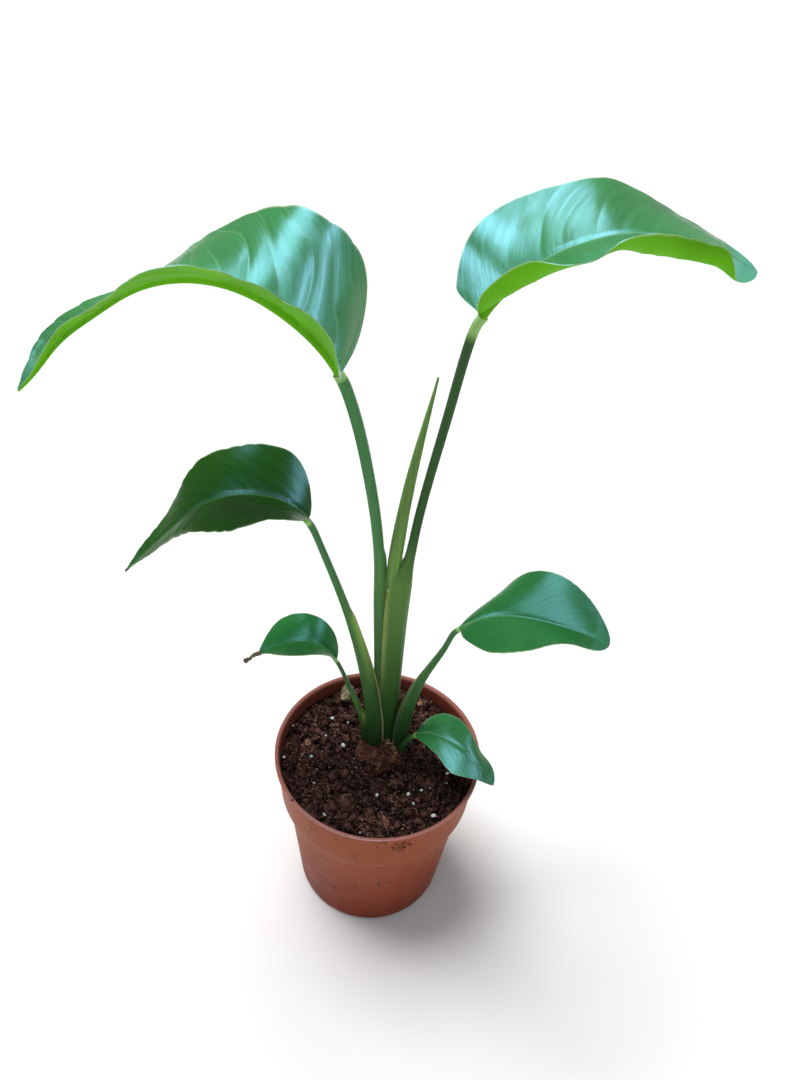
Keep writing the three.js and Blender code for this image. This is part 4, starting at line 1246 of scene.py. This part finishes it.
class PLANT_OT_stalks(bpy.types.Operator):
    """Draw the leaf stalks, with sheaths that clasp the younger ones"""

    bl_idname = "plant.stalks"
    bl_label = "Leaf stalks"

    def execute(self, context):
        settings = context.scene.plant_stalks
        step = settings.step / MM
        for name, leaf in LEAVES.items():
            path = stalk_path(leaf)
            margin = SHEATH_MARGINS.get(name)
            sides = 80 if margin else 44
            loops = 24 * len(path)
            inward = 0 if leaf["heading"][0] > 90 else 180
            points, wraps, tops = [], [], []
            for i in range(loops):
                t = i / (loops - 1)
                axes = section_axes(path, t)
                half = along(leaf["widths"], t) / 2
                edge, plain = margin_turn(margin, axes[0].z)
                bare = 1 - plain if margin else smooth_step(t, 0.3, 0.6)
                for j in range(sides):
                    degrees = 360 * j / sides
                    past = half_turn(degrees - edge)
                    thick = smooth_step(past, -3, 2) * (1 - smooth_step(past, 10, 120)) * plain * step
                    channel = math.exp(-(half_turn(degrees - inward) / CHANNEL_HALF_TURN) ** 2)
                    hollow = CHANNEL_DEPTH * half * bare * channel
                    points.append(section_point(axes, half + thick - hollow, math.radians(degrees)))
                    wraps.append((past / 360 + 0.5, plain))
                    tops.append(((axes[0] - path[-1]).length / MAP_UNIT, 0))
            points += [path[0], path[-1]]
            wraps += [(0, 0), (0, 0)]
            tops += [(1, 0), (0, 0)]
            top = margin[-1][0] if margin else leaf["stalk"][-1][2]
            skin = stalk_material(f"stalk_skin_{name}", settings, top, STALK_LOOKS[name])
            piece = add_piece(f"leaf_stalk_{name}", points, tube_faces(loops, sides), [skin],
                              maps={"Wrap": wraps, "Top": tops}, crease=50)
            settle(piece, "stalk", f"stalk_{name}")
        return {"FINISHED"}


class PLANT_OT_spear(bpy.types.Operator):
    """Roll up the new leaf in the fork"""

    bl_idname = "plant.spear"
    bl_label = "Rolled leaf"

    def execute(self, context):
        settings = context.scene.plant_spear
        path = [Vector(p) for p in SPEAR_POINTS]
        loops, sides = 150, 72
        points, rolls = [], []
        for i in range(loops):
            t = i / (loops - 1)
            axes = section_axes(path, t)
            half = along(SPEAR_WIDTHS, t) / 2
            overlap = settings.overlap / MM * smooth_step(half, 0.6, 2.4)
            for j in range(sides):
                degrees = 360 * j / sides
                past = ((degrees - (SEAM_START + SEAM_TURN * t)) % 360) / 360
                spread = half + overlap * (0.5 - past) * smooth_step(past, 0, 0.02)
                points.append(section_point(axes, spread, math.radians(degrees)))
                rolls.append((past, t))
        points += [path[0], path[-1]]
        rolls += [(0, 0), (0, 1)]
        piece = add_piece("rolled_leaf", points, tube_faces(loops, sides), [spear_material(settings)],
                          maps={"Roll": rolls}, crease=40)
        settle(piece, "new_leaf", "spear")
        return {"FINISHED"}


# Blades
# Lengths over which the spacing of side veins wanders, a margin ruffles and a blade swells along and across,
# and how far from the midrib its groove reaches
VEIN_WANDER, RUFFLE_LENGTH, SWELL_LENGTH, SWELL_WIDTH, GROOVE_HALF = 24, 9, 30, 18, 1.7


def half_width(leaf, t):
    """How far a blade reaches to each side of its midrib."""
    bulge = math.log(0.5) / math.log(leaf["widest"])
    taper = 1 - leaf["slim"] * smooth_step(t, 0.35, 0.8)
    roundness = BASE_ROUNDNESS + (leaf["tip"] - BASE_ROUNDNESS) * t
    return leaf["half"] * taper * max(math.sin(math.pi * t ** bulge), 0) ** roundness


def blade_row(leaf, t, centre, flares, seed, thickness, groove):
    """Upper and under points of a blade across one place on its midrib, with each point's side vein and its
    distance from the midrib."""
    heading, climb = along(leaf["heading"], t), along(leaf["climb"], t)
    ahead = np.array(direction(heading, climb))
    turn = math.radians(heading)
    across = np.array((-math.sin(turn), math.cos(turn), 0))
    up = np.cross(ahead, across)
    ridge = leaf["widths"][-1] / 2 * (1 - RIDGE_TAPER * t)
    side = np.where(flares < 0, -1, 1)[:, None]
    flare = np.abs(flares)[:, None]
    distance = t * leaf["length"]

    def halves(left, right):
        """One value on the blade's left half and another on its right."""
        return np.where(side > 0, left, right)

    def wander(length, layer):
        """Noise along the blade, another one on each half."""
        return halves(*(noise.noise(Vector((distance / length, seed + s, layer))) for s in (0, 5)))

    # Each half leaves the midrib at its fold and bends evenly to its curl at the margin
    reach = halves(*(max(half_width(leaf, t) * along(share, t), ridge * 1.15) for share in leaf["spread"]))
    fold, curl = (halves(along(leaf["left"][k], t), along(leaf["right"][k], t)) for k in (0, 1))
    place = np.repeat(centre[None, :], len(flares), 0)
    for k in range(CURL_PIECES):
        rise = np.radians(fold + (curl - fold) * flare * (k + 0.5) / CURL_PIECES)
        place = place + (side * across * np.cos(rise) + up * np.sin(rise)) * reach * flare / CURL_PIECES
    end = np.radians(fold + (curl - fold) * flare)
    normal = -side * across * np.sin(end) + up * np.cos(end)

    # Long waves of the margin, and the lobes that run back past the base
    swing = np.sin(2 * math.pi * leaf["waves"] * t + halves(0, 2))
    place = place + up * leaf["wave"] * flare ** 2 * swing * math.sin(math.pi * t)
    sweep_back = min(t / LOBE_START, 1) * max(1 - t / LOBE_SHARE, 0) ** 2
    place = place - ahead * halves(*leaf["lobe"]) * flare ** 2 * sweep_back

    # The skin pillows up between side veins, ruffles at the margin and swells here and there
    swept = leaf["sweep"] * reach / leaf["half"] * flare ** leaf["bend"]
    phase = (distance - swept) / leaf["spacing"] + 0.9 * wander(VEIN_WANDER, 0) + 0.25 * side
    calm = math.sin(math.pi * min(max(t, 0), 1)) ** 0.5
    pillow = np.abs(np.sin(math.pi * phase)) ** 0.7 - 0.6
    relief = leaf["bulge"] * pillow * calm * np.sin(math.pi * flare ** 0.8)
    outward = side * across * np.cos(end) + up * np.sin(end)
    place = place + outward * leaf["scallop"] * pillow * calm * flare ** 6
    ruffle = wander(RUFFLE_LENGTH, 4) * leaf["ruffle"] * flare ** 5 * calm
    swells = np.array([noise.noise(Vector((distance / SWELL_LENGTH, f * leaf["half"] / SWELL_WIDTH, seed)))
                       for f in flares])
    relief = relief + ruffle + 0.9 * swells[:, None] * flare * calm

    # The groove over the midrib and the ridge under it
    out = reach * flare
    channel = groove * (1 - 0.6 * t) * np.exp(-((out / GROOVE_HALF) ** 2)) * smooth_step(t, 0, 0.05)
    rib = RIDGE_DEPTH * ridge * np.sqrt(np.maximum(1 - (out / (1.25 * ridge)) ** 2, 0))
    leaf_skin = thickness - (thickness - EDGE_THICKNESS) * flare ** 4
    upper = place + normal * (relief - channel)
    under = place + normal * (relief - leaf_skin - rib)
    return upper, under, phase[:, 0], out[:, 0]


def blade_mesh(leaf, seed, thickness, groove):
    """Points, faces, finishes and UV maps of a whole blade, closed round its margins."""
    rows, columns = leaf["rows"], leaf["columns"]
    steps = np.linspace(-1, 1, 2 * columns + 1)
    flares = steps * (0.55 + 0.45 * np.abs(steps) ** 1.5)
    centre = np.array(leaf["base"], float)
    uppers, unders, forms, veins = [], [], [], []
    for i in range(rows + 1):
        t = i / rows
        if i > 0:
            middle = t - 0.5 / rows
            stride = direction(along(leaf["heading"], middle), along(leaf["climb"], middle))
            centre = centre + np.array(stride) * leaf["length"] / rows
        upper, under, phase, out = blade_row(leaf, t, centre, flares, seed, thickness, groove)
        uppers.append(upper)
        unders.append(under)
        forms.append(np.column_stack((np.full(len(flares), t), flares * 0.5 + 0.5)))
        veins.append(np.column_stack((phase, out / MAP_UNIT)))
    width = len(flares)
    points = np.concatenate(uppers + unders)
    below = (rows + 1) * width
    faces, finishes = [], []
    for i in range(rows):
        for j in range(width - 1):
            a = i * width + j
            faces.append((a, a + width, a + width + 1, a + 1))
            faces.append((below + a, below + a + 1, below + a + width + 1, below + a + width))
            finishes += [0, 1]
        left, right = i * width, i * width + width - 1
        faces.append((left, below + left, below + left + width, left + width))
        faces.append((right, right + width, below + right + width, below + right))
        finishes += [0, 0]
    end = rows * width
    for j in range(width - 1):
        faces.append((j, j + 1, below + j + 1, below + j))
        faces.append((end + j, below + end + j, below + end + j + 1, end + j + 1))
        finishes += [1, 1]
    maps = {"Form": np.concatenate(forms * 2), "Veins": np.concatenate(veins * 2)}
    return points, faces, finishes, maps, centre


class PLANT_OT_blades(bpy.types.Operator):
    """Grow the leaf blades, with their midribs, side veins, pale margins and dry tip"""

    bl_idname = "plant.blades"
    bl_label = "Leaf blades"

    def execute(self, context):
        settings = context.scene.plant_blades
        high, low, dark = settings.upper_high, settings.upper_low, settings.upper_dark
        greens = {"e": high, "f": high, "d": dark, "c": low, "b": low, "a": low}
        for seed, (name, leaf) in enumerate(LEAVES.items()):
            points, faces, finishes, maps, tip = blade_mesh(
                leaf, 10 * seed, settings.thickness / MM, settings.groove / MM)
            skins = [
                blade_material(f"waxed_leaf_{name}", settings, greens[name], True, LOOKS[name]),
                blade_material(f"leaf_underside_{name}", settings, settings.under, False, LOOKS[name]),
            ]
            piece = add_piece(f"leaf_blade_{name}", points, faces, skins, finishes, maps, 60)
            settle(piece, "leaf", f"blade_{name}")
            if "withered" in leaf:
                self.add_dry_tip(settings, leaf, Vector(tip))
        return {"FINISHED"}

    def add_dry_tip(self, settings, leaf, tip):
        """A dead, twisted tip, a dry strip that hangs from the blade."""
        path = [tip + Vector(p) for p in leaf["withered"]]
        loops, sides = 50, 16
        points = []
        for i in range(loops):
            t = i / (loops - 1)
            centre, wide, deep = section_axes(path, t)
            half = along(leaf["withered_widths"], t) / 2
            twist = 2.6 * t + 0.6
            for j in range(sides):
                turn = 2 * math.pi * j / sides
                u, v = half * math.cos(turn), 0.55 * half * math.sin(turn)
                crumple = 0.25 * noise.noise(Vector((t * 14, turn, 2)))
                u, v = u * math.cos(twist) - v * math.sin(twist), u * math.sin(twist) + v * math.cos(twist)
                points.append(centre + wide * (u + crumple) + deep * (v + crumple))
        points += [path[0], path[-1]]
        dead = mottled_material("dead_leaf_tissue", settings.dry, shade(settings.dry, 2.2), 1.2, 0.75, 0.2)
        settle(add_piece("dry_leaf_tip", points, tube_faces(loops, sides), [dead], crease=50), "leaf")


# Stage, in metres
FLOOR_REACH = 25
LAMP_TARGET = Vector((0, 0.02, 0.42))
# Each softbox's place and size
SOFTBOXES = {
    "overhead_softbox": ((-0.1, -0.3, 1.5), (0.8, 0.6)),
    "front_softbox": ((0, -0.85, 1.3), (0.9, 0.25)),
    "right_softbox": ((0.82, 0.27, 0.93), (0.4, 0.35)),
    "right_front_softbox": ((0.96, -0.45, 1.12), (0.45, 0.4)),
    "left_softbox": ((-0.85, -0.6, 0.75), (0.45, 0.45)),
    "back_softbox": ((-0.2, 0.36, 1.45), (0.3, 0.26)),
}
# The way that the daylight falls, and how wide it spreads, in degrees
DAYLIGHT_WAY, DAYLIGHT_SPREAD = (0.3, -0.22, -1), 35


class PLANT_OT_stage(bpy.types.Operator):
    """Set the camera, a pale floor and soft studio lamps"""

    bl_idname = "plant.stage"
    bl_label = "Stage"

    def execute(self, context):
        settings = context.scene.plant_stage
        scene = context.scene
        lens = bpy.data.cameras.new("photo_camera")
        lens.sensor_width = SENSOR
        lens.lens = SENSOR * FOCAL_PIXELS / PHOTO_HEIGHT
        lens.clip_start, lens.clip_end = 0.01, 100
        camera = bpy.data.objects.new("photo_camera", lens)
        right, up, forward = camera_axes()
        turn = Matrix((right, up, -forward)).transposed().to_4x4()
        camera.matrix_world = Matrix.Translation(CAMERA_PLACE * MM) @ turn
        scene.collection.objects.link(camera)
        scene.camera = camera

        # Uncoated card, pressed between rollers: its faint tooth spreads the light evenly
        matte, add = new_material("matte_paper_floor")
        place = add("TexCoord").outputs["Object"]
        tooth = add("TexNoise", {"Vector": place, "Scale": scale_of(PAPER_TOOTH)})
        finish_material(add, {"Roughness": 0.9, "Specular IOR Level": 0.1,
                              "Base Color": (*settings.floor, 1)}, tooth, 0.2, 0.2)
        sheet = bpy.data.meshes.new("floor")
        corners = [(x * FLOOR_REACH, y * FLOOR_REACH, 0) for x, y in ((-1, -1), (1, -1), (1, 1), (-1, 1))]
        sheet.from_pydata(corners, [], [(0, 1, 2, 3)])
        sheet.materials.append(matte)
        floor = bpy.data.objects.new("floor", sheet)
        scene.collection.objects.link(floor)

        for name, (place, size) in SOFTBOXES.items():
            lamp = bpy.data.lights.new(name, "AREA")
            lamp.shape = "RECTANGLE"
            lamp.size, lamp.size_y = size
            lamp.energy, lamp.color = settings.radiance * size[0] * size[1], settings.window
            stand = bpy.data.objects.new(name, lamp)
            stand.location = place
            stand.rotation_euler = (LAMP_TARGET - Vector(place)).to_track_quat("-Z", "Y").to_euler()
            stand.visible_diffuse = False
            scene.collection.objects.link(stand)
        day = bpy.data.lights.new("soft_daylight", "SUN")
        day.energy, day.angle = settings.day, math.radians(DAYLIGHT_SPREAD)
        sun = bpy.data.objects.new("soft_daylight", day)
        sun.rotation_euler = Vector(DAYLIGHT_WAY).to_track_quat("-Z", "Y").to_euler()
        sun.visible_glossy = False
        scene.collection.objects.link(sun)
        sky = bpy.data.worlds.new("even_sky")
        sky.use_nodes = True
        back = sky.node_tree.nodes["Background"]
        back.inputs["Color"].default_value = (*linear("#ffffff"), 1)
        back.inputs["Strength"].default_value = settings.sky
        scene.world = sky
        scene.view_settings.view_transform = "Standard"
        return {"FINISHED"}


class PLANT_PT_sidebar(bpy.types.Panel):
    """The plant's pieces and their settings"""

    bl_idname = "PLANT_PT_sidebar"
    bl_label = "Bird of paradise"
    bl_space_type = "VIEW_3D"
    bl_region_type = "UI"
    bl_category = "Plant"

    def draw(self, context):
        for operator, group in STEPS:
            box = self.layout.box()
            box.operator(operator.bl_idname)
            for name in getattr(context.scene, group).bl_rna.properties.keys():
                if name not in ("rna_type", "name"):
                    box.prop(getattr(context.scene, group), name)


GROUPS = {
    "plant_stage": StageSettings,
    "plant_pot": PotSettings,
    "plant_soil": SoilSettings,
    "plant_root": RootSettings,
    "plant_stalks": StalkSettings,
    "plant_spear": SpearSettings,
    "plant_blades": BladeSettings,
}

# Each operator with the settings that it reads, in the order of making
STEPS = (
    (PLANT_OT_stage, "plant_stage"),
    (PLANT_OT_pot, "plant_pot"),
    (PLANT_OT_soil, "plant_soil"),
    (PLANT_OT_litter, "plant_soil"),
    (PLANT_OT_root_crown, "plant_root"),
    (PLANT_OT_stalks, "plant_stalks"),
    (PLANT_OT_spear, "plant_spear"),
    (PLANT_OT_blades, "plant_blades"),
)


def register():
    for group in GROUPS.values():
        bpy.utils.register_class(group)
    for operator, _ in STEPS:
        bpy.utils.register_class(operator)
    bpy.utils.register_class(PLANT_PT_sidebar)
    for name, group in GROUPS.items():
        setattr(bpy.types.Scene, name, PointerProperty(type=group))


def unregister():
    for name in GROUPS:
        delattr(bpy.types.Scene, name)
    bpy.utils.unregister_class(PLANT_PT_sidebar)
    for operator, _ in reversed(STEPS):
        bpy.utils.unregister_class(operator)
    for group in reversed(list(GROUPS.values())):
        bpy.utils.unregister_class(group)


def main():
    register()
    for operator, _ in STEPS:
        module, name = operator.bl_idname.split(".")
        getattr(getattr(bpy.ops, module), name)()


if __name__ == "__main__":
    main()
